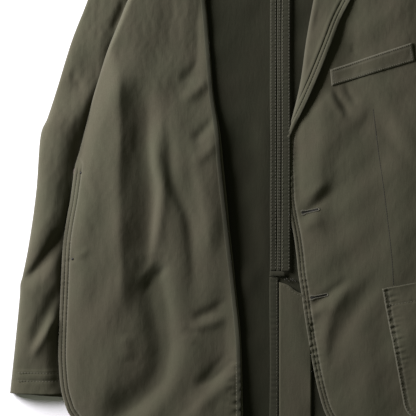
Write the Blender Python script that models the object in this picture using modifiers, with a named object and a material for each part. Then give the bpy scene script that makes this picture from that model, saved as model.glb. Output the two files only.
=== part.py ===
"""Chino blazer lying on its back, the right front folded open like a page.

Tables are in millimetres on the plan of the laid garment: x runs from the
centre-back seam towards the wearer's left, y runs up from the hem, z is the
height of the middle of a cloth wall above the surface it lies on.
"""
import math

import bpy
from mathutils import Vector
from mathutils.bvhtree import BVHTree

MM = 0.001

# ---- driving sizes -------------------------------------------------------
WALL = 1.5
SEAM = 0.3
LAYER = WALL + SEAM
REST = WALL / 2
HALF_HEM = 302.0
PULLED_SIDE = 177.0
SLEEVE_HEIGHT = 6.8
SLEEVE_CLEAR = SLEEVE_HEIGHT + SEAM
FRONT_AIR = 2.2
PAGE_EDGE = 11.9
PAGE_CREST = 5.2
PAGE_FOLD = 12.4
BINDING_WIDTH = 5.0
BAND_LEFT = 11.0
BAND_RIGHT = 14.0
VENT_HEIGHT = 217.0
UNDERLAP = 41.0
POCKET_WIDTH = 130.0
POCKET_HEIGHT = 172.0
POCKET_CORNER = 26.0
POCKET_TILT = 10.5
BUTTON_DIA = 20.0
BUTTON_THICK = 2.8
HOLE_DIA = 2.2
HOLE_PITCH = 4.4
BUTTON_SIDES = 24
HOLE_SIDES = 12
BUTTON_MIDDLE = 8.9
CLOTH_GLOSS = 0.88
BUTTON_GLOSS = 0.35
FACING_CLEAR = LAYER + SEAM
UNDER_PAGE = 8.1
HIDDEN_POCKET = (-118, 178, 4.0)
HIDDEN_POCKET_HEIGHT = 8.4

# ---- outlines: x, y ------------------------------------------------------
SIDE_LEFT = [
    (HALF_HEM, 8), (293, 150), (279, 280), (264, 372), (250, 400), (215, 422), (189, 433),
    (181, 446), (178.5, 475), (181, 520), (192, 575), (210, 634),
]
SIDE_RIGHT = [
    (-PULLED_SIDE, 1), (-PULLED_SIDE, 150), (-PULLED_SIDE, 440), (-178.5, 475), (-181, 520),
    (-192, 575), (-210, 634),
]
NECK_TO_TIP = [(0, 680.6), (30, 682), (50, 685), (66, 690), (82, 698), (146, 666), (210, 635)]
FRONT_EDGE = [
    (100, 2), (76, 15), (60, 36), (51, 62.5), (44, 94), (37.5, 131), (32.5, 162.5),
    (29, 187.5), (25, 212.5), (22.5, 237.5), (19, 262.5), (14, 287.5), (11, 306),
    (10, 331), (9, 356), (11, 384), (19, 412), (29, 456), (36, 506), (45, 556),
    (56, 610), (66, 655), (76, 690), (80, 697.5),
]
LAPEL_ROLL = [(14, 394), (19, 412), (29, 456), (36, 506), (45, 556), (56, 610), (65.5, 652)]
LAPEL_EDGE = [
    (19, 393), (32.5, 425), (49, 462.5), (64, 500), (76, 531), (89, 556), (105, 585),
    (121, 611),
]
BUTTONS = [(-247.5, 340), (-257.5, 232.5)]
LAPEL_WIDTHS = [3, 20, 38, 52, 60, 64, 60]
PAGE_LEFT = [
    (-200, 1), (-242, 16), (-261, 36), (-267.5, 50), (-272.5, 69), (-275, 94),
    (-275.6, 125), (-272.5, 206), (-270, 250), (-266, 279), (-261, 306), (-257.5, 331),
    (-255, 349), (-249, 369), (-240, 404), (-232.5, 434), (-225, 459), (-214, 494),
    (-199, 531), (-189, 556), (-172, 592), (-150, 628), (-125, 659), (-103, 680),
]
PAGE_FOLD_LINE = [
    (-50, 0), (-50, 36), (-51, 106), (-53, 144), (-59, 200), (-65.5, 256), (-69, 287.5),
    (-75.5, 350), (-79, 394), (-85.5, 437.5), (-89, 481), (-93, 531), (-95.5, 556),
    (-97, 600), (-95, 640), (-90, 682),
]
LOWER_SIDE = [
    (-176, 1), (-176, 150), (-176, 300), (-176, 440), (-177.5, 475), (-180, 520),
    (-190, 575), (-207, 633),
]
SLEEVE_OUTER = [
    (337, 64), (330, 131), (321, 206), (312.5, 256), (304, 319), (299, 385), (290, 409),
    (278, 446), (259.5, 506), (240, 556), (227, 598), (220, 622),
]
SLEEVE_INNER_RIGHT = [
    (201, 58), (196, 206), (190, 319), (186, 400), (184, 440), (181, 475), (183.5, 520),
    (194.5, 575), (211.5, 631),
]
SLEEVE_INNER_LEFT = [
    (201, 58), (198, 206), (194, 319), (191, 400), (187, 440), (181.5, 475),
    (184, 520), (195, 575), (213, 631),
]

# ---- soft folds of a panel: x, y, x, y, rise, half width -----------------
FRONT_FOLDS = [
    (38, 330, 46, 430, 1.6, 22),
    (88, 190, 50, 118, 1.5, 20),
    (150, 330, 120, 400, 1.2, 26),
]
PAGE_FOLDS = [
    (-176, 345, -172, 290, -2.6, 15),
    (-172, 290, -190, 220, -2.6, 15),
    (-190, 200, -164, 130, -2.4, 16),
    (-164, 130, -196, 30, -2.0, 18),
    (-158, 380, -150, 300, 2.4, 14),
    (-150, 300, -180, 190, 2.0, 14),
    (-142, 400, -126, 310, -2.2, 12),
    (-126, 310, -112, 195, -1.8, 14),
    (-112, 400, -86, 230, 1.8, 18),
]
SLEEVE_FOLDS = [
    (-330, 203, -280, 258, -1.6, 14),
    (-286, 200, -318, 120, -1.3, 14),
]

# ---- collar: ridge x y z, height just past the ridge, edge x y z ---------
COLLAR = [
    (69, 660, 9.6, 9.4, 136, 645, 8.2),
    (75, 683, 10.4, 10.0, 135, 670, 8.0),
    (77, 704, 9.0, 8.2, 126, 695, 6.4),
    (68, 714, 6.2, 5.2, 100, 722, 4.4),
    (56, 715, 4.6, 2.4, 70, 711, 2.0),
    (44, 715, 3.9, 1.0, 50, 691, 0.8),
    (28, 714, 3.75, 0.9, 30, 671, 0.75),
    (0, 713, 3.75, 0.9, 0, 668, 0.75),
    (-28, 714, 3.75, 0.9, -30, 671, 0.75),
    (-44, 715, 3.9, 1.0, -50, 691, 0.8),
    (-56, 715, 4.4, 2.2, -70, 711, 2.0),
    (-68, 714, 5.0, 3.8, -98, 722, 3.2),
    (-79, 707, 5.0, 4.2, -116, 713, 3.2),
]
# ---- stand: neck x y z, top x y z ----------------------------------------
STAND = [
    (74, 696.5, 4.0, 69, 704, 4.4),
    (64, 692.0, 3.8, 61, 710, 4.2),
    (50, 687.5, 4.3, 54, 711.5, 4.2),
    (30, 682.8, 4.0, 28, 712, 3.9),
    (0, 681.4, 4.0, 0, 711.5, 3.9),
    (-30, 682.8, 4.0, -28, 712, 3.9),
    (-50, 687.5, 4.3, -54, 711.5, 4.2),
    (-64, 692.0, 3.8, -61, 710, 4.2),
    (-74, 696.5, 4.0, -69, 704, 4.2),
]

COLOURS = {
    "cloth": (0.082, 0.076, 0.0545),
    "inside": (0.074, 0.069, 0.049),
    "binding": (0.092, 0.086, 0.062),
    "button": (0.045, 0.036, 0.026),
}


def clear_scene():
    """Start from an empty scene."""
    for thing in list(bpy.data.objects):
        bpy.data.objects.remove(thing, do_unlink=True)


def ramp(value, start, stop):
    """Smooth step from 0 at start to 1 at stop."""
    t = min(max((value - start) / (stop - start), 0.0), 1.0)
    return t * t * (3 - 2 * t)


def mirror(table):
    """The same outline on the other side of the centre-back seam."""
    return [(-x, y) for x, y in table]


def even(count):
    """Evenly spaced stations from 0 to 1."""
    return [i / count for i in range(count + 1)]


def smooth_line(table, per_span=10):
    """Dense Catmull-Rom polyline through the rows of a table."""
    pts = [Vector(p) for p in table]
    pts = [2 * pts[0] - pts[1]] + pts + [2 * pts[-1] - pts[-2]]
    line = []
    for i in range(1, len(pts) - 2):
        a, b, c, d = pts[i - 1:i + 3]
        for k in range(per_span):
            t = k / per_span
            line.append(0.5 * (2 * b + (c - a) * t + (2 * a - 5 * b + 4 * c - d) * t * t
                               + (3 * b - a - 3 * c + d) * t * t * t))
    line.append(pts[-2].copy())
    return line


def stations(line, at):
    """Points of a polyline at the given shares of its length."""
    lengths = [0.0]
    for a, b in zip(line, line[1:]):
        lengths.append(lengths[-1] + (b - a).length)
    found = []
    k = 0
    for share in at:
        goal = share * lengths[-1]
        while k < len(line) - 2 and lengths[k + 1] < goal:
            k += 1
        span = max(lengths[k + 1] - lengths[k], 1e-9)
        found.append(line[k].lerp(line[k + 1], min(max((goal - lengths[k]) / span, 0), 1)))
    return found


def coons(bottom, right, top, left, across, along):
    """Plan grid between four boundary polylines, rows from bottom to top."""
    low = stations(bottom, across)
    high = stations(top, across)
    west = stations(left, along)
    east = stations(right, along)
    rows = []
    for j, v in enumerate(along):
        row = []
        for i, u in enumerate(across):
            ruled = low[i] * (1 - v) + high[i] * v + west[j] * (1 - u) + east[j] * u
            corner = (low[0] * (1 - u) + low[-1] * u) * (1 - v)
            corner += (high[0] * (1 - u) + high[-1] * u) * v
            row.append(ruled - corner)
        rows.append(row)
    return rows


def fold_height(folds, x, y):
    """Sum of the soft ridges and troughs of a fold table at one point."""
    total = 0.0
    here = Vector((x, y))
    for x0, y0, x1, y1, rise, half in folds:
        a = Vector((x0, y0))
        run = Vector((x1, y1)) - a
        t = min(max((here - a).dot(run) / run.length_squared, 0.0), 1.0)
        gap = (here - a - run * t).length / half
        total += rise * math.exp(-gap * gap) * (1 - 0.35 * abs(2 * t - 1))
    return total


def material(name, kind, roughness):
    """One Principled material for one sub-part."""
    mat = bpy.data.materials.new("mat_" + name)
    mat.use_nodes = True
    shader = mat.node_tree.nodes["Principled BSDF"]
    shader.inputs["Base Color"].default_value = (*COLOURS[kind], 1)
    shader.inputs["Roughness"].default_value = roughness
    return mat


def add_object(name, verts, faces, kind, roughness=CLOTH_GLOSS, edges=()):
    """Mesh object in the garment's collection, sizes turned into metres."""
    mesh = bpy.data.meshes.new(name)
    mesh.from_pydata([tuple(c * MM for c in v) for v in verts], list(edges), faces)
    mesh.validate()
    mesh.update()
    obj = bpy.data.objects.new(name, mesh)
    GARMENT.objects.link(obj)
    obj.data.materials.append(material(name, kind, roughness))
    return obj


def shell(name, rows, kind="cloth", wall=WALL, offset=0.0):
    """Cloth wall through rows of points, closed by a Solidify modifier."""
    width = len(rows[0])
    verts = [tuple(p) for row in rows for p in row]
    faces = []
    for j in range(len(rows) - 1):
        for i in range(width - 1):
            a = j * width + i
            faces.append((a, a + 1, a + width + 1, a + width))
    obj = add_object(name, verts, faces, kind)
    thick = obj.modifiers.new("cloth_wall", "SOLIDIFY")
    thick.thickness = wall * MM
    thick.offset = offset
    thick.use_even_offset = True
    SURFACES[name] = BVHTree.FromPolygons([Vector(v) for v in verts], faces)
    return obj


def lifted(grid, height):
    """Plan grid given heights by a function of x and y."""
    return [[(p[0], p[1], height(p[0], p[1])) for p in row] for row in grid]


def height_on(name, x, y, fallback):
    """Height of a finished cloth surface at a point of the plan."""
    hit = SURFACES[name].ray_cast(Vector((x, y, 200)), Vector((0, 0, -1)))
    return hit[0].z if hit[0] is not None else fallback


def resting_on(name, extra=0.0, fallback=REST):
    """Height function one layer above a finished cloth surface."""
    def height(x, y):
        spread = [height_on(name, x + dx, y + dy, fallback)
                  for dx, dy in ((0, 0), (-3, 0), (3, 0), (0, -3), (0, 3))]
        return max(spread) + LAYER + extra
    return height


def back_height(x, y):
    """Back panel: flat, lifted over the left sleeve and the collar's fall."""
    over_sleeve = SLEEVE_CLEAR * ramp(x, 150, 187) * (1 - ramp(y, 440, 478))
    over_collar = 3.1 * ramp(y, 632, 664) * (1 - ramp(abs(x), 46, 64))
    return REST + max(over_sleeve, over_collar)


def front_left_height(x, y):
    """Closed left front: on the back, higher at its front edge and armhole."""
    air = FRONT_AIR * (1 - ramp(x, 50, 110)) + 0.9 * ramp(x, 120, 160)
    armhole = 1.3 * ramp(y, 440, 480) * ramp(x, 130, 175)
    side = SLEEVE_CLEAR * ramp(x, 150, 187) * (1 - ramp(y, 440, 478))
    return REST + LAYER + air + armhole + side + max(fold_height(FRONT_FOLDS, x, y), -0.2)


def page_height(share, x, y):
    """Opened right front: rises from its edge to a crest, then to the fold."""
    crest = PAGE_CREST * math.exp(-((share - 0.34) / 0.26) ** 2)
    base = PAGE_EDGE + (PAGE_FOLD - PAGE_EDGE) * share
    damp = ramp(share, 0.0, 0.12) * (1 - ramp(share, 0.9, 1.0))
    top = 1 - 0.75 * ramp(y, 560, 690)
    drop = (PAGE_EDGE - 6.2) * ramp(y, 570, 690)
    return base - drop + (crest * top + fold_height(PAGE_FOLDS, x, y) * top) * damp


def build_backs():
    """Back panels, the bound centre-back seam and the vent."""
    top = smooth_line(NECK_TO_TIP)
    rows = [0, 0.06, 0.14, 0.22, 0.3, 0.38, 0.46, 0.52, 0.56, 0.6, 0.64, 0.7, 0.78, 0.86,
            0.92, 0.96, 1]
    seam = SEAM / 2
    left_top = [Vector((max(p.x, seam), p.y)) for p in top]
    right_top = [Vector((-max(p.x, seam), p.y)) for p in top]
    hem = [Vector((seam, 0)), Vector((HALF_HEM, 8))]
    grid = coons(hem, smooth_line(SIDE_LEFT), left_top,
                 [Vector((seam, 0)), Vector((seam, 680.6))],
                 [0, 0.16, 0.32, 0.45, 0.49, 0.53, 0.57, 0.61, 0.65, 0.69, 0.74, 0.86, 1], rows)
    shell("back_left", lifted(grid, back_height), "inside")
    hem = [Vector((-seam, 0)), Vector((-PULLED_SIDE, 1))]
    grid = coons(hem, smooth_line(SIDE_RIGHT), right_top,
                 [Vector((-seam, 0)), Vector((-seam, 680.6))],
                 [0, 0.12, 0.26, 0.4, 0.6, 0.8, 1], rows)
    shell("back_right", [row[::-1] for row in lifted(grid, back_height)], "inside")
    band = []
    for share in even(12):
        y = VENT_HEIGHT + share * (679 - VENT_HEIGHT)
        z = max(resting_on("back_left", 0.1)(4, y), resting_on("back_right", 0.1)(-4, y))
        band.append([(-BAND_LEFT, y, z), (-0.4 * BAND_LEFT, y, z), (0.3 * BAND_RIGHT, y, z),
                     (BAND_RIGHT, y, z)])
    shell("centre_back_seam", band, "binding")
    low = REST + LAYER
    facing = [[(-BAND_LEFT, y, low), (-BAND_LEFT / 2, y, low), (-SEAM, y, low)]
              for y in (0.5, 72, 144, VENT_HEIGHT - SEAM)]
    shell("vent_facing", facing, "binding")
    tops = ((SEAM, 202), (UNDERLAP * 0.5, 193), (UNDERLAP, 188))
    lap = [[(x, 0.5 + (y - 0.5) * share, low) for x, y in tops] for share in even(5)]
    shell("vent_underlap", lap, "inside")


def build_front_left():
    """Left front with its lapel, welt and patch pocket."""
    across = [0, 0.08, 0.18, 0.28, 0.38, 0.45, 0.5, 0.545, 0.59, 0.63, 0.67, 0.71, 0.75,
              0.86, 1]
    rows = [0, 0.05, 0.12, 0.19, 0.26, 0.33, 0.4, 0.46, 0.52, 0.56, 0.6, 0.64, 0.7, 0.78,
            0.86, 0.93, 1]
    top = [Vector((80, 697.5)), Vector((145, 666)), Vector((210, 634.5))]
    hem = [Vector((100, 2)), Vector((190, 3)), Vector((HALF_HEM, 8))]
    grid = coons(hem, smooth_line(SIDE_LEFT), top, smooth_line(FRONT_EDGE), across, rows)
    shell("front_left", lifted(grid, front_left_height))

    grid = coons([Vector(LAPEL_ROLL[0]), Vector(LAPEL_EDGE[0])], smooth_line(LAPEL_EDGE),
                 [Vector(LAPEL_ROLL[-1]), Vector(LAPEL_EDGE[-1])], smooth_line(LAPEL_ROLL),
                 even(5), even(8))
    on_front = resting_on("front_left", 0.35)
    lapel = []
    for j, row in enumerate(grid):
        lift = 4.6 * ramp(j / 8, 0.05, 0.5) * (1 - 0.45 * ramp(j / 8, 0.7, 1))
        lapel.append([(p.x, p.y, on_front(p.x, p.y) + lift * (0.1 + 0.9 * (i / 5) ** 1.4))
                      for i, p in enumerate(row)])
    shell("lapel_left", lapel)

    welt = [[Vector((66, 449)).lerp(Vector((170, 480)), u) for u in even(5)],
            [Vector((65, 459)).lerp(Vector((168, 491)), u) for u in even(5)],
            [Vector((64, 469)).lerp(Vector((166, 502)), u) for u in even(5)]]
    shell("breast_welt", lifted(welt, resting_on("front_left", 0.3)))
    shell("patch_pocket_left", lifted(pocket_plan(129, 195, POCKET_TILT, 1),
                                      resting_on("front_left", 0.6)))


def pocket_plan(left, top, tilt, side):
    """Plan grid of a patch pocket with rounded lower corners."""
    angle = math.radians(tilt) * side
    grid = []
    depths = [0, 0.2, 0.45, 0.65, 0.8, 0.88, 0.95, 1]
    for depth in reversed(depths):
        down = depth * POCKET_HEIGHT
        into = max(0.0, down - (POCKET_HEIGHT - POCKET_CORNER))
        inset = POCKET_CORNER - math.sqrt(max(POCKET_CORNER ** 2 - into ** 2, 0))
        inset = min(inset, POCKET_CORNER * 0.86)
        row = []
        for u in even(6):
            along = inset + u * (POCKET_WIDTH - 2 * inset)
            x = left + side * (along * math.cos(angle * side) + down * math.sin(angle * side))
            y = top + along * math.sin(angle * side) - down * math.cos(angle * side)
            row.append(Vector((x, y)))
        grid.append(row if side > 0 else row[::-1])
    return grid


def build_front_right():
    """Right front opened over the sleeve, its facing, lapel, pocket, buttons."""
    rows = [0, 0.025, 0.06, 0.1, 0.15, 0.2, 0.26, 0.32, 0.38, 0.44, 0.5, 0.56, 0.63, 0.71,
            0.8, 0.9, 1]
    left = stations(smooth_line(PAGE_LEFT), rows)
    fold = stations(smooth_line(PAGE_FOLD_LINE), rows)
    side = stations(smooth_line(LOWER_SIDE), rows)
    low = REST + LAYER
    sheet = []
    for a, b, c in zip(left, fold, side):
        row = []
        for u in even(12):
            p = a.lerp(b, u)
            row.append((p.x, p.y, page_height(u, p.x, p.y)))
        high = row[-1][2]
        radius = (high - low) / 2
        for k in range(1, 6):
            turn = math.pi * k / 6
            row.append((b.x + radius * math.sin(turn), b.y,
                        (high + low) / 2 + radius * math.cos(turn)))
        for u in (0.0, 0.25, 0.5, 0.75, 1.0):
            p = b.lerp(c, u)
            row.append((p.x, p.y, low))
        sheet.append(row)
    shell("front_right", sheet)

    def above(row_index, distances):
        """Points on one row of the page at distances from its left edge, moved out."""
        a, b = left[row_index], fold[row_index]
        points = []
        for distance in distances:
            p = a.lerp(b, distance / (b - a).length)
            points.append((p.x, p.y, height_on("front_right", p.x, p.y, PAGE_EDGE) + FACING_CLEAR))
        return points

    facing = []
    binding = []
    for j in range(len(rows)):
        span = (fold[j] - left[j]).length
        if span < 5 * BINDING_WIDTH:
            continue
        inner = span - BINDING_WIDTH - SEAM
        inside = [0.6] + [span * u for u in even(12)[1:] if span * u < inner - 2] + [inner]
        inside += [inner + 0.01] * (13 - len(inside))
        facing.append(above(j, inside))
        binding.append(above(j, [span - BINDING_WIDTH, span]))
    shell("facing_right", facing, "inside")
    shell("facing_binding", binding, "binding")

    roll = stations(smooth_line([p for p in PAGE_LEFT if p[1] > 360]), even(8))
    lapel = []
    for j, p in enumerate(roll[:len(LAPEL_WIDTHS)]):
        q = roll[j + 1]
        run = (q - p).normalized()
        into = Vector((run.y, -run.x))
        start = p + into * 2.0
        end = p + into * (2.0 + LAPEL_WIDTHS[j])
        z = UNDER_PAGE - 2.3 * ramp(p.y, 560, 640)
        lapel.append([(*start.lerp(end, u), z + 0.2 * u) for u in even(4)])
    shell("lapel_right", lapel)

    pocket = pocket_plan(*HIDDEN_POCKET, -1)
    shell("patch_pocket_right",
          [[(p.x, p.y, HIDDEN_POCKET_HEIGHT) for p in row] for row in pocket])
    for number, (x, y) in enumerate(BUTTONS, 1):
        build_button("button_%d" % number, x, y, BUTTON_MIDDLE)


def build_button(name, x, y, middle):
    """Four-hole button lying face down under the opened front."""
    rim = BUTTON_DIA / 2
    half = BUTTON_THICK / 2
    profile = [(0, half), (rim * 0.75, half), (rim - 0.3, half * 0.6), (rim, 0.1),
               (rim - 0.5, -half), (rim * 0.72, -half), (rim * 0.6, -half * 0.55),
               (0, -half * 0.5)]
    verts = [(radius, 0, z) for radius, z in profile]
    edges = [(k, k + 1) for k in range(len(profile) - 1)]
    disc = add_object(name, verts, [], "button", BUTTON_GLOSS, edges)
    disc.location = Vector((x, y, middle)) * MM
    turn = disc.modifiers.new("turned", "SCREW")
    turn.axis = "Z"
    turn.steps = BUTTON_SIDES
    turn.render_steps = BUTTON_SIDES
    turn.use_merge_vertices = True
    turn.merge_threshold = 0.01 * MM
    turn.use_normal_calculate = True
    turn.use_smooth_shade = True
    for number, (sx, sy) in enumerate(((1, 1), (-1, 1), (-1, -1), (1, -1)), 1):
        place = Vector((x + sx * HOLE_PITCH / 2, y + sy * HOLE_PITCH / 2, middle)) * MM
        bpy.ops.mesh.primitive_cylinder_add(vertices=HOLE_SIDES, radius=HOLE_DIA / 2 * MM,
                                            depth=3 * BUTTON_THICK * MM, location=place)
        cutter = bpy.context.active_object
        cutter.name = "%s_hole_%d" % (name, number)
        for home in list(cutter.users_collection):
            home.objects.unlink(cutter)
        CUTTERS.objects.link(cutter)
        cutter.display_type = "WIRE"
        cutter.hide_render = True
        cut = disc.modifiers.new("hole_%d" % number, "BOOLEAN")
        cut.object = cutter
        cut.operation = "DIFFERENCE"
        cut.solver = "EXACT"


def build_sleeve(side, outer, inner, folds):
    """Two-piece sleeve: flattened tube split along its outer and inner seams."""
    rows = [0, 0.03, 0.08, 0.14, 0.2, 0.26, 0.32, 0.38, 0.46, 0.54, 0.6, 0.67, 0.75, 0.83,
            0.9, 0.95, 1]
    west = stations(smooth_line(outer), rows)
    east = stations(smooth_line(inner), rows)
    middle = SLEEVE_HEIGHT / 2
    upper = []
    under = []
    for a, b in zip(west, east):
        span = (b - a).length
        way = (b - a) / span
        arc = min(middle, span * 0.3)
        half_seam = math.asin(2.5 * SEAM / middle)
        over = []
        below = []
        turns = [half_seam + (math.pi / 2 - half_seam) * k / 3 for k in range(4)]
        for turn in turns:
            reach = arc * (1 - math.cos(turn))
            over.append((reach, middle + middle * math.sin(turn)))
            below.append((reach, middle - middle * math.sin(turn)))
        flats = 6 if folds else 2
        top = [(arc + (span - 2 * arc) * k / (flats + 1), SLEEVE_HEIGHT) for k in range(1, flats + 1)]
        floor = [(span / 2, 0.0)]
        over = over + top + [(span - d, z) for d, z in reversed(over)]
        below = below + floor + [(span - d, z) for d, z in reversed(below)]
        line = []
        for d, z in over:
            p = a + way * d
            dip = fold_height(folds, p.x, p.y) * ramp(min(d, span - d), arc, arc + 12)
            line.append((p.x, p.y, z + max(dip, -1.9)))
        upper.append(line)
        under.append([(*(a + way * d), z) for d, z in below])
    name = "sleeve_" + side
    if side == "right":
        shell(name + "_upper", upper, "cloth", WALL, -1.0)
        shell(name + "_under", [row[::-1] for row in under], "cloth", WALL, -1.0)
    else:
        shell(name + "_upper", [row[::-1] for row in upper], "cloth", WALL, -1.0)
        shell(name + "_under", under, "cloth", WALL, -1.0)


def build_collar():
    """Fall and stand of the collar, the fall folded outwards round the neck."""
    fall = []
    for rx, ry, rz, past, ex, ey, ez in COLLAR:
        ridge = Vector((rx, ry))
        edge = Vector((ex, ey))
        back = (ridge - edge).normalized()
        start = ridge - back * 2.0
        row = [(*ridge, rz), (*(ridge + back * 1.3), (rz + past) / 2), (*start, past)]
        for u in (0.33, 0.66, 1.0):
            p = start.lerp(edge, u)
            row.append((p.x, p.y, past + (ez - past) * u))
        fall.append(row)
    shell("collar_fall", fall)
    stand = []
    for nx, ny, nz, tx, ty, tz in STAND:
        a = Vector((nx, ny, nz))
        b = Vector((tx, ty, tz))
        stand.append([tuple(a.lerp(b, u)) for u in even(3)])
    shell("collar_stand", stand)


def settle():
    """Move the garment so its box stands on the origin, bottom centre."""
    bpy.context.view_layer.update()
    graph = bpy.context.evaluated_depsgraph_get()
    low = Vector((9, 9, 9))
    high = Vector((-9, -9, -9))
    shown = [o for o in GARMENT.objects if o.type == "MESH" and not o.hide_render]
    for obj in shown:
        for v in obj.evaluated_get(graph).data.vertices:
            point = obj.matrix_world @ v.co
            for k in range(3):
                low[k] = min(low[k], point[k])
                high[k] = max(high[k], point[k])
    shift = Vector((-(low.x + high.x) / 2, -(low.y + high.y) / 2, -low.z))
    for obj in [*GARMENT.objects, *CUTTERS.objects]:
        if obj.type == "MESH":
            obj.location += shift
            obj.parent = ROOT


clear_scene()
SURFACES = {}
GARMENT = bpy.data.collections.new("chino_blazer")
bpy.context.scene.collection.children.link(GARMENT)
CUTTERS = bpy.data.collections.new("cutters")
bpy.context.scene.collection.children.link(CUTTERS)
ROOT = bpy.data.objects.new("chino_blazer", None)
GARMENT.objects.link(ROOT)

build_backs()
build_front_left()
build_front_right()
build_sleeve("right", mirror(SLEEVE_OUTER), mirror(SLEEVE_INNER_RIGHT), SLEEVE_FOLDS)
build_sleeve("left", SLEEVE_OUTER, SLEEVE_INNER_LEFT, [])
build_collar()
settle()
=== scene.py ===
"""Chino blazer lying open on a pale table: cloth, stitching and studio.

Every size is in millimetres on the plan of the laid garment: x runs from the
centre-back seam towards the wearer's left and y runs up from the hem. ``Plan``
turns them into the frame's metres.
"""
import logging
import math
from dataclasses import dataclass, field
from enum import Enum
from typing import Callable, Sequence

import bpy
import numpy as np
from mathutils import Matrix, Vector


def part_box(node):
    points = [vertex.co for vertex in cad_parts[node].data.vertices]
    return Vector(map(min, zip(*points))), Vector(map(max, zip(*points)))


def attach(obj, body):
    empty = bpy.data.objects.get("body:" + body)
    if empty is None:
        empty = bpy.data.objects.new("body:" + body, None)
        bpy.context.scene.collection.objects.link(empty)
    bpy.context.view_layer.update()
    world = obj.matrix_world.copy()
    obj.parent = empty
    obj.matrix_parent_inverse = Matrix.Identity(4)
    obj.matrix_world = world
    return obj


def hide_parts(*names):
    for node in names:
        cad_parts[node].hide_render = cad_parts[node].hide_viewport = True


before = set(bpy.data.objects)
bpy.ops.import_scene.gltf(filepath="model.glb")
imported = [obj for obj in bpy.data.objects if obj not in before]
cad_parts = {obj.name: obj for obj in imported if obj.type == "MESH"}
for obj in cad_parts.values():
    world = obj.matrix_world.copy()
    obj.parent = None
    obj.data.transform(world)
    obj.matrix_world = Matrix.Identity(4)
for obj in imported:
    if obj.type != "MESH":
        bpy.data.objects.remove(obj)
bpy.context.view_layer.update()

LOG = logging.getLogger("chino_blazer")

MM = 0.001
CLOTH = 1.0      # thickness of one layer of twill as it is shown
LAYER = 1.6      # from the middle of one layer to the middle of the next
BODY = "root"

Height = Callable[[np.ndarray], np.ndarray]


# ---------------------------------------------------------------- plan and curves


@dataclass(frozen=True)
class Plan:
    """Places the garment's plan in the frame."""

    hem: float
    seam: float

    @classmethod
    def from_frame(cls) -> "Plan":
        """Read the hem and the centre-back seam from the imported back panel."""
        low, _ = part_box("back_left")
        return cls(hem=low[1], seam=low[0])

    def metres(self, points: np.ndarray) -> np.ndarray:
        """Turn plan points into the frame's metres.

        Args:
            points: An array of x, y, z rows in millimetres.

        Returns:
            The same points in metres, in the frame.
        """
        return points * MM + np.array([self.seam, self.hem, 0.0])

    def millimetres(self, point: Sequence[float]) -> np.ndarray:
        """Turn one point of the frame, in metres, back into plan millimetres."""
        return (np.array(point) - (self.seam, self.hem, 0)) / MM


PLAN = Plan.from_frame()


def curve(table: Sequence[tuple], per_span: int = 12) -> np.ndarray:
    """Dense smooth polyline through the rows of a table.

    Args:
        table: Points of any dimension.
        per_span: Steps between two rows of the table.

    Returns:
        An array of points.
    """
    pts = np.array(table, float)
    if len(pts) == 2:
        return np.linspace(pts[0], pts[1], per_span + 1)
    pts = np.vstack([2 * pts[0] - pts[1], pts, 2 * pts[-1] - pts[-2]])
    t = (np.arange(per_span) / per_span)[:, None]
    runs = []
    for a, b, c, d in zip(pts, pts[1:], pts[2:], pts[3:]):
        runs.append(0.5 * (2 * b + (c - a) * t + (2 * a - 5 * b + 4 * c - d) * t ** 2
                           + (3 * b - a - 3 * c + d) * t ** 3))
    return np.vstack(runs + [pts[-2]])


def at_shares(line: np.ndarray, shares: np.ndarray) -> np.ndarray:
    """Points of a polyline at shares of its length.

    Args:
        line: The polyline.
        shares: Numbers from 0 to 1.

    Returns:
        One point for each share.
    """
    steps = np.linalg.norm(np.diff(line, axis=0), axis=1)
    run = np.concatenate([[0], np.cumsum(steps)])
    goal = np.asarray(shares) * run[-1]
    return np.stack([np.interp(goal, run, line[:, k]) for k in range(line.shape[1])], axis=-1)


def length_of(line: np.ndarray) -> float:
    """Length of a polyline."""
    return float(np.linalg.norm(np.diff(line, axis=0), axis=1).sum())


def ramp(value: np.ndarray, start: float, stop: float) -> np.ndarray:
    """Smooth step from 0 at start to 1 at stop."""
    t = np.clip((value - start) / (stop - start), 0, 1)
    return t * t * (3 - 2 * t)


def hump(value: np.ndarray, centre: float, half: float) -> np.ndarray:
    """Soft bell of height 1 about a centre."""
    return np.exp(-((value - centre) / half) ** 2)


@dataclass(frozen=True)
class Nearest:
    """Where points lie against a polyline."""

    gap: np.ndarray
    along: np.ndarray
    side: np.ndarray


def nearest(xy: np.ndarray, line: np.ndarray) -> Nearest:
    """Distance of points from a polyline, and where along it they fall.

    Args:
        xy: An array of plan points.
        line: The polyline.

    Returns:
        Distances, lengths along the line, and +1 on its left or -1 on its right.
    """
    gap = np.full(len(xy), 1e9)
    along = np.zeros(len(xy))
    side = np.zeros(len(xy))
    start = 0.0
    for a, b in zip(line, line[1:]):
        run = b - a
        size = math.hypot(*run)
        if size < 1e-9:
            continue
        rel = xy - a
        t = np.clip(rel @ run / size ** 2, 0, 1)
        off = rel - t[:, None] * run
        here = np.hypot(off[:, 0], off[:, 1])
        closer = here < gap
        gap[closer] = here[closer]
        along[closer] = start + t[closer] * size
        side[closer] = np.sign(run[0] * rel[closer, 1] - run[1] * rel[closer, 0])
        start += size
    return Nearest(gap, along, side)


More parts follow.
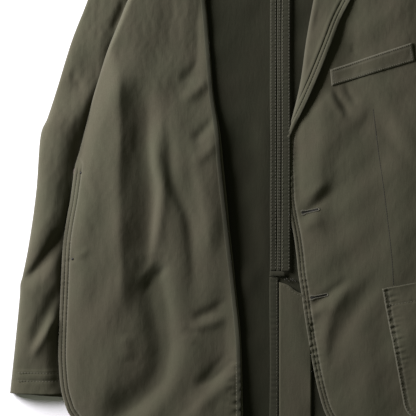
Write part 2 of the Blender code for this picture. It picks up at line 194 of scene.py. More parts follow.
def coons(bottom: np.ndarray, right: np.ndarray, top: np.ndarray, left: np.ndarray,
          across: int, along: int) -> np.ndarray:
    """Plan grid between four boundary polylines.

    Args:
        bottom: Boundary of the first row.
        right: Boundary of the last column, from bottom to top.
        top: Boundary of the last row.
        left: Boundary of the first column, from bottom to top.
        across: Columns.
        along: Rows.

    Returns:
        An array of rows, columns and x, y.
    """
    u = np.linspace(0, 1, across)
    v = np.linspace(0, 1, along)
    low, high = at_shares(bottom, u), at_shares(top, u)
    west, east = at_shares(left, v), at_shares(right, v)
    u, v = u[None, :, None], v[:, None, None]
    ruled = low * (1 - v) + high * v + west[:, None] * (1 - u) + east[:, None] * u
    corners = (low[0] * (1 - u) + low[-1] * u) * (1 - v) + (high[0] * (1 - u) + high[-1] * u) * v
    return ruled - corners


def fine_edges(grid: np.ndarray, columns: int, left: Sequence[float] = (),
               right: Sequence[float] = ()) -> np.ndarray:
    """Move a grid's columns so that some lie at set distances from its edges.

    Args:
        grid: Rows of plan points.
        columns: Even columns between the set ones.
        left: Distances from the first column.
        right: Distances from the last column.

    Returns:
        The new grid, with the same rows.
    """
    rows = []
    for row in grid:
        span = length_of(row)
        scale = min(1.0, span / 60)
        near = np.array(left) * scale
        far = span - np.array(right)[::-1] * scale
        start = near[-1] if len(near) else 0.0
        stop = far[0] if len(far) else span
        middle = np.linspace(start, stop, columns)[int(len(near) > 0):]
        middle = middle[:-1] if len(far) else middle
        rows.append(at_shares(row, np.concatenate([near, middle, far]) / span))
    return np.array(rows)


# ---------------------------------------------------------------- folds of the cloth


class Profile(Enum):
    """Cross-section of a fold."""

    SOFT = "soft"
    PINCHED = "pinched"


@dataclass(frozen=True)
class Crease:
    """One fold of the cloth, laid along a path.

    Attributes:
        path: Points of the fold's line.
        rise: Height of a ridge, or less than 0 for a trough.
        spread: Half width.
        lean: Below 1 makes the left side of the path steeper, above 1 the right side.
        fade: Share of the path over which each end dies away.
        profile: Cross-section.
    """

    path: tuple[tuple[float, float], ...]
    rise: float
    spread: float
    lean: float = 1.0
    fade: float = 0.3
    profile: Profile = Profile.SOFT

    def height(self, xy: np.ndarray) -> np.ndarray:
        """Height that the fold adds at plan points."""
        line = curve(self.path, 6)
        found = nearest(xy, line)
        width = np.where(found.side > 0, self.spread * self.lean, self.spread / self.lean)
        gap = found.gap / width
        if self.profile is Profile.SOFT:
            shape = np.exp(-gap ** 2)
        else:
            shape = np.exp(1 - np.sqrt(1 + (2.2 * gap) ** 2))
        t = found.along / length_of(line)
        ends = ramp(np.minimum(t, 1 - t), -0.25 * self.fade, self.fade)
        return self.rise * shape * ends


def folds(creases: Sequence[Crease], xy: np.ndarray) -> np.ndarray:
    """Sum of a table of folds at plan points."""
    total = np.zeros(len(xy))
    for crease in creases:
        total += crease.height(xy)
    return total


@dataclass(frozen=True)
class Drift:
    """Irregular waviness of lying cloth, as a sum of crossing waves.

    Attributes:
        seed: Chooses the waves.
        rise: Height of the waviness.
        shortest: Shortest wave.
        longest: Longest wave.
        waves: Number of waves.
        grain: Turn of the waves from across the cloth, small for lengthwise folds.
    """

    seed: int
    rise: float
    shortest: float
    longest: float
    waves: int = 16
    grain: float = 3.2

    def height(self, xy: np.ndarray) -> np.ndarray:
        """Height of the waviness at plan points."""
        rng = np.random.default_rng(self.seed)
        total = np.zeros(len(xy))
        for _ in range(self.waves):
            size = rng.uniform(self.shortest, self.longest)
            turn = rng.uniform(-self.grain, self.grain)
            phase = rng.uniform(0, 2 * math.pi)
            way = np.array([math.cos(turn), math.sin(turn)]) * 2 * math.pi / size
            total += np.sin(xy @ way + phase) * size / self.longest
        return self.rise * total / math.sqrt(self.waves / 2)


@dataclass(frozen=True)
class StitchedEdge:
    """Turned edge: thicker rim, groove under its stitching, and puckers.

    Attributes:
        line: The edge.
        inset: Distance of the stitching from the edge.
        rim: Extra height of the rim.
        groove: Depth of the groove.
        pucker: Height of the puckers.
        pitch: Length of one pucker.
        seed: Chooses the puckers.
        reach: How far the puckers run in from the stitching.
        spacing: Distance between the two grooves, which lie either side of the inset.
    """

    line: np.ndarray
    inset: float = 5.5
    rim: float = 0.2
    groove: float = 0.4
    pucker: float = 0.45
    pitch: float = 8.0
    seed: int = 1
    reach: float = 6.0
    spacing: float = 2.6

    def height(self, xy: np.ndarray) -> np.ndarray:
        """Height that the edge adds at plan points."""
        found = nearest(xy, self.line)
        gap = found.gap
        rim = self.rim * (1 - ramp(gap, self.inset - 1.5, self.inset + 0.8))
        rounding = -0.6 * np.exp(-gap / 0.7)
        half = self.spacing / 2
        groove = -self.groove * (hump(gap, self.inset - half, 0.95)
                                 + hump(gap, self.inset + half, 0.95))
        rng = np.random.default_rng(self.seed)
        waves = np.zeros(len(xy))
        for _ in range(4):
            size = self.pitch * rng.uniform(0.7, 1.5)
            slant = gap * rng.uniform(-0.25, 0.25)
            turn = 2 * math.pi * found.along / size + rng.uniform(0, 6.3) + slant
            waves += 1 - 2 * np.abs(np.sin(turn / 2))
        strength = 0.55 + 0.45 * np.sin(found.along / 41.0 + self.seed)
        spread = np.exp(-(np.maximum(gap - self.inset, 0) / self.reach) ** 2)
        puckers = self.pucker * waves / 2.0 * spread * strength * ramp(gap, 0, 1.5)
        return rim + rounding + groove + puckers

    def worn_and_lit(self, xy: np.ndarray) -> np.ndarray:
        """Share of wear and painted highlight, 1 on the edge itself."""
        gap = nearest(xy, self.line).gap
        return np.clip(np.exp(-gap / 1.1) + 0.4 * hump(gap, self.inset + self.spacing / 2 + 1.0, 0.9), 0, 1)


# ---------------------------------------------------------------- outlines

HALF_HEM = 302.0
PULLED_SIDE = 177.0
SIDE_LEFT = curve([
    (HALF_HEM, 8), (293, 150), (279, 280), (264, 372), (250, 400), (215, 422), (189, 433),
    (181, 446), (178.5, 475), (181, 520), (192, 575), (210, 634),
])
SIDE_RIGHT = curve([
    (-PULLED_SIDE, 1), (-PULLED_SIDE, 150), (-PULLED_SIDE, 440), (-178.5, 475), (-181, 520),
    (-192, 575), (-210, 634),
])
NECK_TO_TIP = curve([
    (0, 680.6), (30, 682), (50, 685), (66, 690), (82, 698), (146, 666), (210, 635),
])
FRONT_EDGE = curve([
    (100, 2), (76, 15), (60, 36), (51, 62.5), (44, 94), (37.5, 131), (32.5, 162.5),
    (29, 187.5), (25, 212.5), (22.5, 237.5), (19, 262.5), (14, 287.5), (11, 306),
    (10, 331), (9, 356), (11, 384), (19, 412), (29, 456), (36, 506), (45, 556),
    (56, 610), (66, 655), (76, 690), (80, 697.5),
])
LAPEL_ROLL = curve([
    (9.5, 386), (18, 412), (28, 456), (35, 506), (44, 556), (55, 610), (64.5, 652),
])
LAPEL_EDGE = curve([
    (13, 385), (32.5, 425), (49, 462.5), (64, 500), (76, 531), (89, 556), (105, 585),
    (121, 611),
])
PAGE_LEFT = curve([
    (-200, 1), (-242, 16), (-261, 36), (-267.5, 50), (-272.5, 69), (-275, 94),
    (-275.6, 125), (-272.5, 206), (-270, 250), (-266, 279), (-261, 306), (-257.5, 331),
    (-255, 349), (-249, 369), (-240, 404), (-232.5, 434), (-225, 459), (-214, 494),
    (-199, 531), (-189, 556), (-172, 592), (-150, 628), (-125, 659), (-103, 680),
])
PAGE_FOLD = curve([
    (-47, 0), (-47.5, 36), (-48, 106), (-50, 144), (-56, 200), (-62.5, 256), (-66, 287.5),
    (-72.5, 350), (-76, 394), (-82.5, 437.5), (-86, 481), (-90, 531), (-92.5, 556),
    (-95, 600), (-93, 640), (-90, 682),
])
LOWER_SIDE = curve([
    (-176, 1), (-176, 150), (-176, 300), (-176, 440), (-177.5, 475), (-180, 520),
    (-190, 575), (-207, 633),
])
SLEEVE_OUTER = curve([
    (337, 64), (330, 131), (325, 183), (324, 201), (321, 212), (312.5, 256), (304, 319),
    (299, 385), (290, 409), (278, 446), (259.5, 506), (240, 556), (227, 598), (220, 622),
])
SLEEVE_INNER = curve([
    (201, 60), (198, 206), (193, 319), (190, 400), (186, 440), (181.5, 475),
    (184, 520), (195, 575), (212, 631),
])
DART = ((118, 420), (124, 369), (131, 319), (136.5, 275), (141, 232), (143, 200))
WELT_CORNERS = ((66, 449), (170, 480), (166, 502.5), (64, 469))
BUTTONHOLES = ((39, 292, 13.0), (50, 185, 12.0))
SHANKS = ((-247.5, 340), (-257.5, 232.5))
EDGE_STATIONS = (0, 0.6, 1.5, 2.8, 3.6, 4.2, 4.8, 5.4, 6.2, 7.2, 8.2, 8.8, 9.4, 10.0, 10.8, 12.0)


# ---------------------------------------------------------------- how the cloth lies

PAGE_CREASES = (
    Crease(((-200, 478), (-200, 440), (-198, 380), (-200, 290)), 4.2, 15, 0.75, 0.25,
           Profile.PINCHED),
    Crease(((-168, 460), (-166, 397), (-165, 344), (-162, 307), (-164, 257), (-160, 205)),
           -8.2, 17, 0.8, 0.22),
    Crease(((-199, 312), (-198, 262), (-195, 205), (-192, 160)), 3.0, 13, 0.85, 0.3,
           Profile.PINCHED),
    Crease(((-176, 404), (-177, 385), (-175, 362)), -0.8, 6, 1.0, 0.35),
    Crease(((-158, 240), (-150, 177), (-145, 146), (-143, 115), (-151, 82), (-178, 52),
            (-226, 32)), -11.4, 19, 0.82, 0.2),
    Crease(((-58, 196), (-60, 140), (-72, 98), (-100, 62), (-142, 24)), -5.6, 17, 0.62, 0.25),
    Crease(((-158, 400), (-154, 356), (-147, 320), (-152, 269), (-162, 215)), 4.6, 7, 1.25, 0.3),
    Crease(((-139, 418), (-137, 369), (-133, 325), (-121, 300), (-112, 269), (-106, 194)),
           -3.2, 8, 1.2, 0.25),
    Crease(((-115, 402), (-108, 372), (-96, 320), (-87, 269), (-84, 210)), 3.2, 11, 1.2, 0.3),
    Crease(((-139, 226), (-168, 190)), -3.0, 5, 1.0, 0.35),
    Crease(((-150, 236), (-176, 204)), 1.6, 6, 1.0, 0.35),
    Crease(((-121, 428), (-84, 458)), 3.0, 8, 1.0, 0.35),
    Crease(((-124, 452), (-86, 482)), -3.4, 8, 1.0, 0.35),
    Crease(((-106, 350), (-75, 380)), 2.2, 8, 1.0, 0.35),
    Crease(((-108, 376), (-80, 408)), -2.8, 7, 1.0, 0.35),
    Crease(((-108, 157), (-62, 176)), -3.0, 7, 1.0, 0.3),
    Crease(((-112, 144), (-64, 158)), 2.0, 7, 1.0, 0.3),
    Crease(((-104, 70), (-54, 112)), -3.4, 8, 1.0, 0.25),
    Crease(((-112, 44), (-56, 86)), 2.8, 10, 1.0, 0.3),
    Crease(((-120, 146), (-100, 138)), -0.9, 4, 1.0, 0.35),
    Crease(((-122, 136), (-104, 126)), 0.8, 4, 1.0, 0.35),
    Crease(((-193, 140), (-187, 104)), 2.0, 9, 1.0, 0.35),
    Crease(((-240, 290), (-222, 262)), -1.0, 5, 1.0, 0.4),
    Crease(((-246, 338), (-232, 300)), -1.1, 5, 1.0, 0.4),
    Crease(((-252, 234), (-234, 246)), 1.0, 5, 1.0, 0.4),
)
FRONT_CREASES = (
    Crease(((21, 425), (24, 375), (24, 330), (29, 296)), -1.7, 6, 1.0, 0.25),
    Crease(((56, 446), (55, 375), (50, 300)), 4.4, 17, 1.15, 0.25),
    Crease(((72, 324), (26, 281)), -2.4, 6, 1.0, 0.3),
    Crease(((60, 330), (34, 306)), 1.4, 6, 1.0, 0.35),
    Crease(((26, 270), (56, 284)), 2.2, 9, 1.0, 0.35),
    Crease(((92, 210), (34, 166)), -2.6, 6, 1.0, 0.3),
    Crease(((36, 160), (64, 174)), 2.2, 8, 1.0, 0.35),
    Crease(((126, 212), (94, 165), (66, 118)), -3.8, 12, 1.0, 0.3),
    Crease(((88, 204), (60, 150), (58, 84)), 3.8, 9, 1.0, 0.3),
    Crease(((66, 448), (90, 410)), -1.9, 4.5, 1.0, 0.35),
    Crease(((60, 442), (84, 402)), 1.4, 5, 1.0, 0.35),
    Crease(((82, 452), (98, 424)), -1.5, 4.5, 1.0, 0.35),
    Crease(((118, 440), (112, 408), (92, 386)), -1.6, 9, 1.0, 0.35),
    Crease(((134, 442), (146, 400), (168, 372)), 2.4, 13, 1.0, 0.35),
    Crease(((126, 408), (142, 380), (171, 344)), -2.2, 10, 1.0, 0.35),
    Crease(((74, 380), (64, 300), (80, 240)), -2.8, 18, 1.0, 0.35),
    Crease(((142, 610), (140, 545), (128, 500)), 3.4, 26, 1.0, 0.35),
    Crease(((29, 408), (50, 458), (68, 500), (84, 538)), -2.4, 7, 1.0, 0.25),
    Crease(((100, 30), (112, 90), (108, 140)), 1.8, 16, 1.0, 0.35),
    Crease(((90, 503), (96, 488)), -1.1, 4, 1.0, 0.4),
)
SLEEVE_CREASES = (
    Crease(((-327, 200), (-302, 222), (-270, 270)), -6.5, 8, 0.75, 0.14),
    Crease(((-322, 236), (-298, 262), (-276, 300)), 2.6, 12, 1.0, 0.3),
    Crease(((-272, 200), (-295, 155), (-308, 120)), -4.4, 8, 1.0, 0.25),
    Crease(((-274, 166), (-292, 138), (-309, 108)), 3.2, 5, 1.0, 0.3),
    Crease(((-276, 156), (-275, 64)), -3.2, 9, 1.0, 0.2),
    Crease(((-186, 560), (-198, 536), (-208, 514)), -5.5, 7, 1.0, 0.35),
    Crease(((-236, 412), (-247, 369), (-254, 331), (-262, 290)), -3.0, 14, 1.0, 0.3),
    Crease(((-262, 470), (-246, 440)), -1.6, 6, 1.0, 0.4),
)
POCKET_CREASES = (
    Crease(((134, 120), (170, 150)), 1.4, 14, 1.0, 0.3),
    Crease(((150, 60), (172, 90)), -1.2, 12, 1.0, 0.3),
)


class Lay:
    """Heights of the laid cloth above the table, in millimetres.

    Each method turns plan points into the height of one layer's middle. ARMHOLE holds the two
    heights on the plan between which the sleeves leave the body.
    """

    BACK = 0.7
    BACK_OVER_SLEEVE = 7.1
    BACK_OVER_COLLAR = 3.1
    BACK_UNDER_FOLD = 3.8
    BACK_BESIDE_SEAM = 2.2
    FRONT = 4.4
    FRONT_CROWN = 5.4
    FRONT_FALL = 3.4
    FRONT_OVER_SLEEVE = 6.6
    FRONT_AT_ARMHOLE = 4.4
    SLEEVE = 5.0
    SLEEVE_CROWN = 13.5
    SLEEVE_HEAD = 4.0
    PAGE = 7.8
    PAGE_CROWN = 11.0
    PAGE_MIDDLE = 4.2
    PAGE_FALL = 8.0
    PAGE_UPPER_FALL = 14.5
    PAGE_OFF_BACK = 3.2
    ARMHOLE = (440.0, 478.0)

    @classmethod
    def below_armhole(cls, y: np.ndarray) -> np.ndarray:
        """1 below the armhole, 0 above it."""
        return 1 - ramp(y, *cls.ARMHOLE)

    @classmethod
    def back(cls, xy: np.ndarray) -> np.ndarray:
        """Back panels, lifted over the left sleeve and the collar's fall."""
        x, y = xy[:, 0], xy[:, 1]
        sleeve = cls.BACK_OVER_SLEEVE * ramp(x, 150, 187) * cls.below_armhole(y)
        collar = cls.BACK_OVER_COLLAR * ramp(y, 632, 664) * (1 - ramp(np.abs(x), 46, 64))
        drift = Drift(3, 1.0, 30, 90).height(xy) * ramp(np.abs(x), 14, 40)
        seam = cls.BACK_BESIDE_SEAM * hump(x, -18, 14) * ramp(y, 200, 260) * (1 - ramp(y, 380, 460))
        past = x - np.interp(y, PAGE_FOLD[:, 1], PAGE_FOLD[:, 0])
        fold = (cls.BACK_UNDER_FOLD + 1.4 * ramp(y, 330, 430)) \
            * hump(np.minimum(past + 4, 0), 0, 14) * (1 - ramp(past, -4, 60)) \
            * ramp(y, 20, 90) * (1 - ramp(y, 560, 640)) * (1 - ramp(-x, 110, 150))
        middle = seam + fold
        return cls.BACK + np.maximum(sleeve, collar) + np.maximum(drift + 0.6, 0) + middle

    @classmethod
    def left_front(cls, xy: np.ndarray) -> np.ndarray:
        """Closed left front with its folds."""
        x, y = xy[:, 0], xy[:, 1]
        edge = nearest(xy, FRONT_EDGE).gap
        crown = cls.FRONT_CROWN * (1 - np.exp(-(edge / 26) ** 1.4)) * (1 - 0.5 * ramp(y, 380, 520))
        fall = cls.FRONT_FALL * ramp(x, 80, 170) * (1 - ramp(y, 230, 360))
        side = cls.FRONT_OVER_SLEEVE * ramp(x, 60, 192) * cls.below_armhole(y)
        armhole = cls.FRONT_AT_ARMHOLE * ramp(y, 430, 480) * ramp(x, 55, 178)
        drift = Drift(11, 1.0, 34, 95, 16, 1.2).height(xy) \
            + Drift(12, 0.08, 6, 15, 16, 0.8).height(xy)
        shape = folds(FRONT_CREASES, xy) + drift
        return cls.FRONT + crown - fall + side + armhole + shape * ramp(edge, 0, 8)

    @classmethod
    def sleeve_top(cls, xy: np.ndarray) -> np.ndarray:
        """Crown of the right sleeve, pressed down where the page lies on it."""
        page = nearest(xy, PAGE_LEFT)
        bare = np.where(page.side > 0, page.gap, -page.gap)
        y = xy[:, 1]
        crown = (cls.SLEEVE_CROWN - (cls.SLEEVE_CROWN - cls.SLEEVE_HEAD) * ramp(y, 400, 452)) \
            * (0.6 + 0.4 * ramp(y, 60, 130))
        reach = 8 + 3 * hump(y, 350, 60)
        return cls.SLEEVE + crown * (1 - np.exp(-np.maximum(bare, 0) / reach))

    @classmethod
    def page(cls, xy: np.ndarray) -> np.ndarray:
        """Opened right front, resting on the right sleeve and never below the back."""
        y = xy[:, 1]
        edge = nearest(xy, PAGE_LEFT).gap
        fold = nearest(xy, PAGE_FOLD).gap
        middle, high, upper = ramp(y, 170, 290), ramp(y, 360, 450), ramp(y, 445, 500)
        crown = cls.PAGE_CROWN + cls.PAGE_MIDDLE * middle - 4.8 * upper
        crown = crown * (1 - np.exp(-(edge / (19 - 4 * middle - 12.5 * upper)) ** 1.5))
        fall = cls.PAGE_UPPER_FALL * high * ramp(edge, 12 - 11 * upper, 150 - 4 * upper) \
            + cls.PAGE_FALL * (1 - high) * ramp(edge, 40, 200)
        drift = Drift(21, 0.8, 26, 75, 16, 0.7).height(xy) \
            + Drift(22, 0.08, 6, 15, 16, 0.8).height(xy)
        shape = folds(PAGE_CREASES, xy) + drift
        shoulder = ramp(y, 600, 690)
        near = ramp(edge, 0, 9) * ramp(fold, -2, 12)
        lies = cls.PAGE - 1.5 * shoulder + (crown - fall) * (1 - 0.8 * shoulder) \
            + shape * near * (1 - shoulder)
        soft = 0.7
        return soft * np.logaddexp(lies / soft, (cls.back(xy) + cls.PAGE_OFF_BACK) / soft)


# ---------------------------------------------------------------- node groups


class Group:
    """A shader node group with named sockets."""

    def __init__(self, name: str) -> None:
        """Make an empty group with its input and output nodes."""
        self.tree = bpy.data.node_groups.new(name, "ShaderNodeTree")
        self.inside = self.tree.nodes.new("NodeGroupInput")
        self.outside = self.tree.nodes.new("NodeGroupOutput")

    def takes(self, name: str, kind: str, value: object) -> None:
        """Add an input socket with its usual value."""
        socket = self.tree.interface.new_socket(name, in_out="INPUT", socket_type=kind)
        socket.default_value = value

    def gives(self, name: str, kind: str) -> None:
        """Add an output socket."""
        self.tree.interface.new_socket(name, in_out="OUTPUT", socket_type=kind)

    def node(self, kind: str, **settings: object) -> bpy.types.Node:
        """Add a node and set its plain properties."""
        return add_node(self.tree, kind, **settings)

    def link(self, source: bpy.types.NodeSocket, target: bpy.types.NodeSocket) -> None:
        """Join two sockets."""
        self.tree.links.new(source, target)


def add_node(tree: bpy.types.NodeTree, kind: str, **settings: object) -> bpy.types.Node:
    """Add a node to a tree.

    Args:
        tree: The tree that takes the node.
        kind: The node's type name.
        settings: Plain properties to set on it.

    Returns:
        The node.
    """
    node = tree.nodes.new(kind)
    for key, value in settings.items():
        setattr(node, key, value)
    return node


def math_node(tree: bpy.types.NodeTree, operation: str, *values: object) -> bpy.types.NodeSocket:
    """Add a Math node fed by numbers or sockets, and give its output."""
    node = add_node(tree, "ShaderNodeMath", operation=operation)
    for socket, value in zip(node.inputs, values):
        if isinstance(value, (int, float)):
            socket.default_value = value
        else:
            tree.links.new(value, socket)
    return node.outputs[0]


def twill_group() -> bpy.types.NodeTree:
    """Diagonal twill ribs with uneven threads: a height and a shade."""
    group = Group("twill_weave")
    group.takes("Pitch", "NodeSocketFloat", 0.0009)
    group.takes("Slope", "NodeSocketFloat", 0.9)
    group.takes("Unevenness", "NodeSocketFloat", 0.5)
    group.takes("Rumple", "NodeSocketFloat", 5.0)
    group.gives("Height", "NodeSocketFloat")
    group.gives("Shade", "NodeSocketFloat")
    tree = group.tree
    place = group.node("ShaderNodeTexCoord").outputs["Object"]
    split = group.node("ShaderNodeSeparateXYZ")
    group.link(place, split.inputs[0])
    jitter = group.node("ShaderNodeTexNoise")
    jitter.inputs["Scale"].default_value = 260.0
    jitter.inputs["Detail"].default_value = 2.0
    group.link(place, jitter.inputs["Vector"])
    lean = math_node(tree, "MULTIPLY", split.outputs["Y"], group.inside.outputs["Slope"])
    run = math_node(tree, "ADD", split.outputs["X"], lean)
    turns = math_node(tree, "DIVIDE", run, group.inside.outputs["Pitch"])
    off = math_node(tree, "MULTIPLY", jitter.outputs["Fac"], group.inside.outputs["Unevenness"])
    wave = math_node(tree, "SINE", math_node(tree, "MULTIPLY", math_node(tree, "ADD", turns, off),
                                             2 * math.pi))
    cross = math_node(tree, "DIVIDE", split.outputs["Y"], group.inside.outputs["Pitch"])
    threads = math_node(tree, "SINE", math_node(tree, "MULTIPLY", cross, 2.1 * math.pi))
    ribs = math_node(tree, "MULTIPLY_ADD", wave, 0.38, 0.5)
    height = math_node(tree, "MULTIPLY_ADD", threads, 0.1, ribs)
    rumple = group.node("ShaderNodeTexNoise")
    rumple.inputs["Scale"].default_value = 210.0
    rumple.inputs["Detail"].default_value = 3.0
    rumple.inputs["Distortion"].default_value = 0.6
    drawn = group.node("ShaderNodeVectorMath", operation="MULTIPLY")
    drawn.inputs[1].default_value = (1.0, 0.32, 1.0)
    group.link(place, drawn.inputs[0])
    group.link(drawn.outputs[0], rumple.inputs["Vector"])
    uneven = math_node(tree, "MULTIPLY_ADD", rumple.outputs["Fac"],
                       group.inside.outputs["Rumple"], height)
    group.link(uneven, group.outside.inputs["Height"])
    shade = math_node(tree, "MULTIPLY_ADD", jitter.outputs["Fac"], 0.6, height)
    group.link(shade, group.outside.inputs["Shade"])
    return tree


def dye_group() -> bpy.types.NodeTree:
    """Garment dye: warm and cool patches of the cloth's colour, and a tone about 1."""
    group = Group("garment_dye")
    group.takes("Cloth", "NodeSocketColor", (0.06, 0.055, 0.03, 1))
    group.takes("Warm", "NodeSocketColor", (1.035, 0.992, 1.02, 1))
    group.takes("Cool", "NodeSocketColor", (0.965, 1.004, 0.985, 1))
    group.takes("Cloud", "NodeSocketFloat", 0.12)
    group.takes("Grain", "NodeSocketFloat", 0.25)
    group.gives("Colour", "NodeSocketColor")
    group.gives("Tone", "NodeSocketFloat")
    tree = group.tree
    place = group.node("ShaderNodeTexCoord").outputs["Object"]
    tone: object = 1.0
    for scale, detail, name in ((26.0, 4.0, "Cloud"), (900.0, 2.0, "Grain")):
        noise = group.node("ShaderNodeTexNoise")
        noise.inputs["Scale"].default_value = scale
        noise.inputs["Detail"].default_value = detail
        group.link(place, noise.inputs["Vector"])
        centred = math_node(tree, "SUBTRACT", noise.outputs["Fac"], 0.5)
        tone = math_node(tree, "MULTIPLY_ADD", centred, group.inside.outputs[name], tone)
    group.link(tone, group.outside.inputs["Tone"])
    patches = group.node("ShaderNodeTexNoise")
    patches.inputs["Scale"].default_value = 17.0
    patches.inputs["Detail"].default_value = 5.0
    patches.inputs["Roughness"].default_value = 0.6
    group.link(place, patches.inputs["Vector"])
    share = group.node("ShaderNodeMapRange")
    share.inputs["From Min"].default_value = 0.38
    share.inputs["From Max"].default_value = 0.62
    group.link(patches.outputs["Fac"], share.inputs["Value"])
    cast = group.node("ShaderNodeMix", data_type="RGBA")
    group.link(share.outputs["Result"], cast.inputs["Factor"])
    group.link(group.inside.outputs["Warm"], cast.inputs["A"])
    group.link(group.inside.outputs["Cool"], cast.inputs["B"])
    tinted = group.node("ShaderNodeMix", data_type="RGBA", blend_type="MULTIPLY")
    tinted.inputs["Factor"].default_value = 1.0
    group.link(group.inside.outputs["Cloth"], tinted.inputs["A"])
    group.link(cast.outputs["Result"], tinted.inputs["B"])
    group.link(tinted.outputs["Result"], group.outside.inputs["Colour"])
    return tree


def wear_and_highlight_group() -> bpy.types.NodeTree:
    """Mixes a lighter tone in along stitched edges and folds, broken up by noise: partly real wear, partly
    painted highlight.
    """
    group = Group("edge_wear_and_highlight")
    group.takes("Cloth", "NodeSocketColor", (0.08, 0.07, 0.05, 1))
    group.takes("Worn_and_lit_colour", "NodeSocketColor", (0.13, 0.12, 0.09, 1))
    group.takes("Amount", "NodeSocketFloat", 0.6)
    group.takes("Tone", "NodeSocketFloat", 1.0)
    group.gives("Colour", "NodeSocketColor")
    tree = group.tree
    edge = group.node("ShaderNodeAttribute", attribute_name="worn_and_lit")
    noise = group.node("ShaderNodeTexNoise")
    noise.inputs["Scale"].default_value = 180.0
    noise.inputs["Detail"].default_value = 3.0
    group.link(group.node("ShaderNodeTexCoord").outputs["Object"], noise.inputs["Vector"])
    broken = math_node(tree, "MULTIPLY_ADD", noise.outputs["Fac"], 0.8, 0.5)
    share = math_node(tree, "MULTIPLY", edge.outputs["Fac"], broken)
    share = math_node(tree, "MULTIPLY", share, group.inside.outputs["Amount"])
    mix = group.node("ShaderNodeMix", data_type="RGBA")
    group.link(share, mix.inputs["Factor"])
    group.link(group.inside.outputs["Cloth"], mix.inputs["A"])
    group.link(group.inside.outputs["Worn_and_lit_colour"], mix.inputs["B"])
    shade = group.node("ShaderNodeVectorMath", operation="SCALE")
    group.link(mix.outputs["Result"], shade.inputs[0])
    group.link(group.inside.outputs["Tone"], shade.inputs["Scale"])
    group.link(shade.outputs[0], group.outside.inputs["Colour"])
    return tree


# ---------------------------------------------------------------- finishes


@dataclass(frozen=True)
class ClothFinish:
    """Cotton twill: dyed, brushed, and lighter along its edges, partly from wear and partly as painted
    highlight.
    """

    name: str
    colour: tuple[float, float, float]
    # Lighter colour and its amount, mixed in along edges and folds: partly wear, partly painted highlight.
    worn_and_lit: tuple[float, float, float]
    wear_and_highlight: float = 0.6
    cloud: float = 0.16
    grain: float = 0.35
    pitch: float = 0.00095
    relief: float = 0.00012
    roughness: float = 0.92
    sheen: float = 0.18

    def build(self, groups: dict[str, bpy.types.NodeTree]) -> bpy.types.Material:
        """Make the material from the shared node groups.

        Args:
            groups: The node groups by name.

        Returns:
            The material.
        """
        mat = bpy.data.materials.new(self.name)
        mat.use_nodes = True
        tree = mat.node_tree
        shader = tree.nodes["Principled BSDF"]
        shader.inputs["Roughness"].default_value = self.roughness
        shader.inputs["Sheen Weight"].default_value = self.sheen
        shader.inputs["Sheen Roughness"].default_value = 0.55
        shader.inputs["Sheen Tint"].default_value = (0.94, 0.95, 0.74, 1)
        shader.inputs["Specular IOR Level"].default_value = 0.1
        parts = {key: add_node(tree, "ShaderNodeGroup", node_tree=group)
                 for key, group in groups.items()}
        parts["dye"].inputs["Cloud"].default_value = self.cloud
        parts["dye"].inputs["Grain"].default_value = self.grain
        parts["twill"].inputs["Pitch"].default_value = self.pitch
        ribs = math_node(tree, "MULTIPLY_ADD", parts["twill"].outputs["Shade"], 0.16, 0.87)
        tone = math_node(tree, "MULTIPLY", parts["dye"].outputs["Tone"], ribs)
        parts["dye"].inputs["Cloth"].default_value = (*self.colour, 1)
        tree.links.new(parts["dye"].outputs["Colour"], parts["wear_and_highlight"].inputs["Cloth"])
        parts["wear_and_highlight"].inputs["Worn_and_lit_colour"].default_value = (*self.worn_and_lit, 1)
        parts["wear_and_highlight"].inputs["Amount"].default_value = self.wear_and_highlight
        tree.links.new(tone, parts["wear_and_highlight"].inputs["Tone"])
        tree.links.new(parts["wear_and_highlight"].outputs["Colour"], shader.inputs["Base Color"])
        bump = add_node(tree, "ShaderNodeBump")
        bump.inputs["Strength"].default_value = 0.55
        bump.inputs["Distance"].default_value = self.relief
        tree.links.new(parts["twill"].outputs["Height"], bump.inputs["Height"])
        tree.links.new(bump.outputs["Normal"], shader.inputs["Normal"])
        return mat


@dataclass(frozen=True)
class PlainFinish:
    """Thread, horn or table: one colour broken up by fine noise."""

    name: str
    colour: tuple[float, float, float]
    roughness: float
    scale: float
    vary: float

    def build(self) -> bpy.types.Material:
        """Make the material."""
        mat = bpy.data.materials.new(self.name)
        mat.use_nodes = True
        tree = mat.node_tree
        shader = tree.nodes["Principled BSDF"]
        shader.inputs["Roughness"].default_value = self.roughness
        noise = add_node(tree, "ShaderNodeTexNoise")
        noise.inputs["Scale"].default_value = self.scale
        place = add_node(tree, "ShaderNodeTexCoord").outputs["Object"]
        tree.links.new(place, noise.inputs["Vector"])
        mix = add_node(tree, "ShaderNodeMix", data_type="RGBA")
        mix.inputs["A"].default_value = (*(c * (1 - self.vary) for c in self.colour), 1)
        mix.inputs["B"].default_value = (*(min(1, c * (1 + self.vary)) for c in self.colour), 1)
        tree.links.new(noise.outputs["Fac"], mix.inputs["Factor"])
        tree.links.new(mix.outputs["Result"], shader.inputs["Base Color"])
        return mat


OUTSIDE = ClothFinish("twill_outside", (0.0548, 0.0522, 0.0322), (0.125, 0.12, 0.09))
INSIDE = ClothFinish("twill_inside", (0.0528, 0.0503, 0.031), (0.12, 0.115, 0.086), wear_and_highlight=0.6,
                     cloud=0.13)
# Inside of the back panels, darkened far below the other inside cloth: painted shade of the hollow between
# the fronts and under the page's fold.
PAINTED_SHADE_BACKING = ClothFinish("twill_backing_painted_shade", (0.0192, 0.0196, 0.0108), (0.04, 0.038, 0.026), wear_and_highlight=0.4,
                      sheen=0.1)
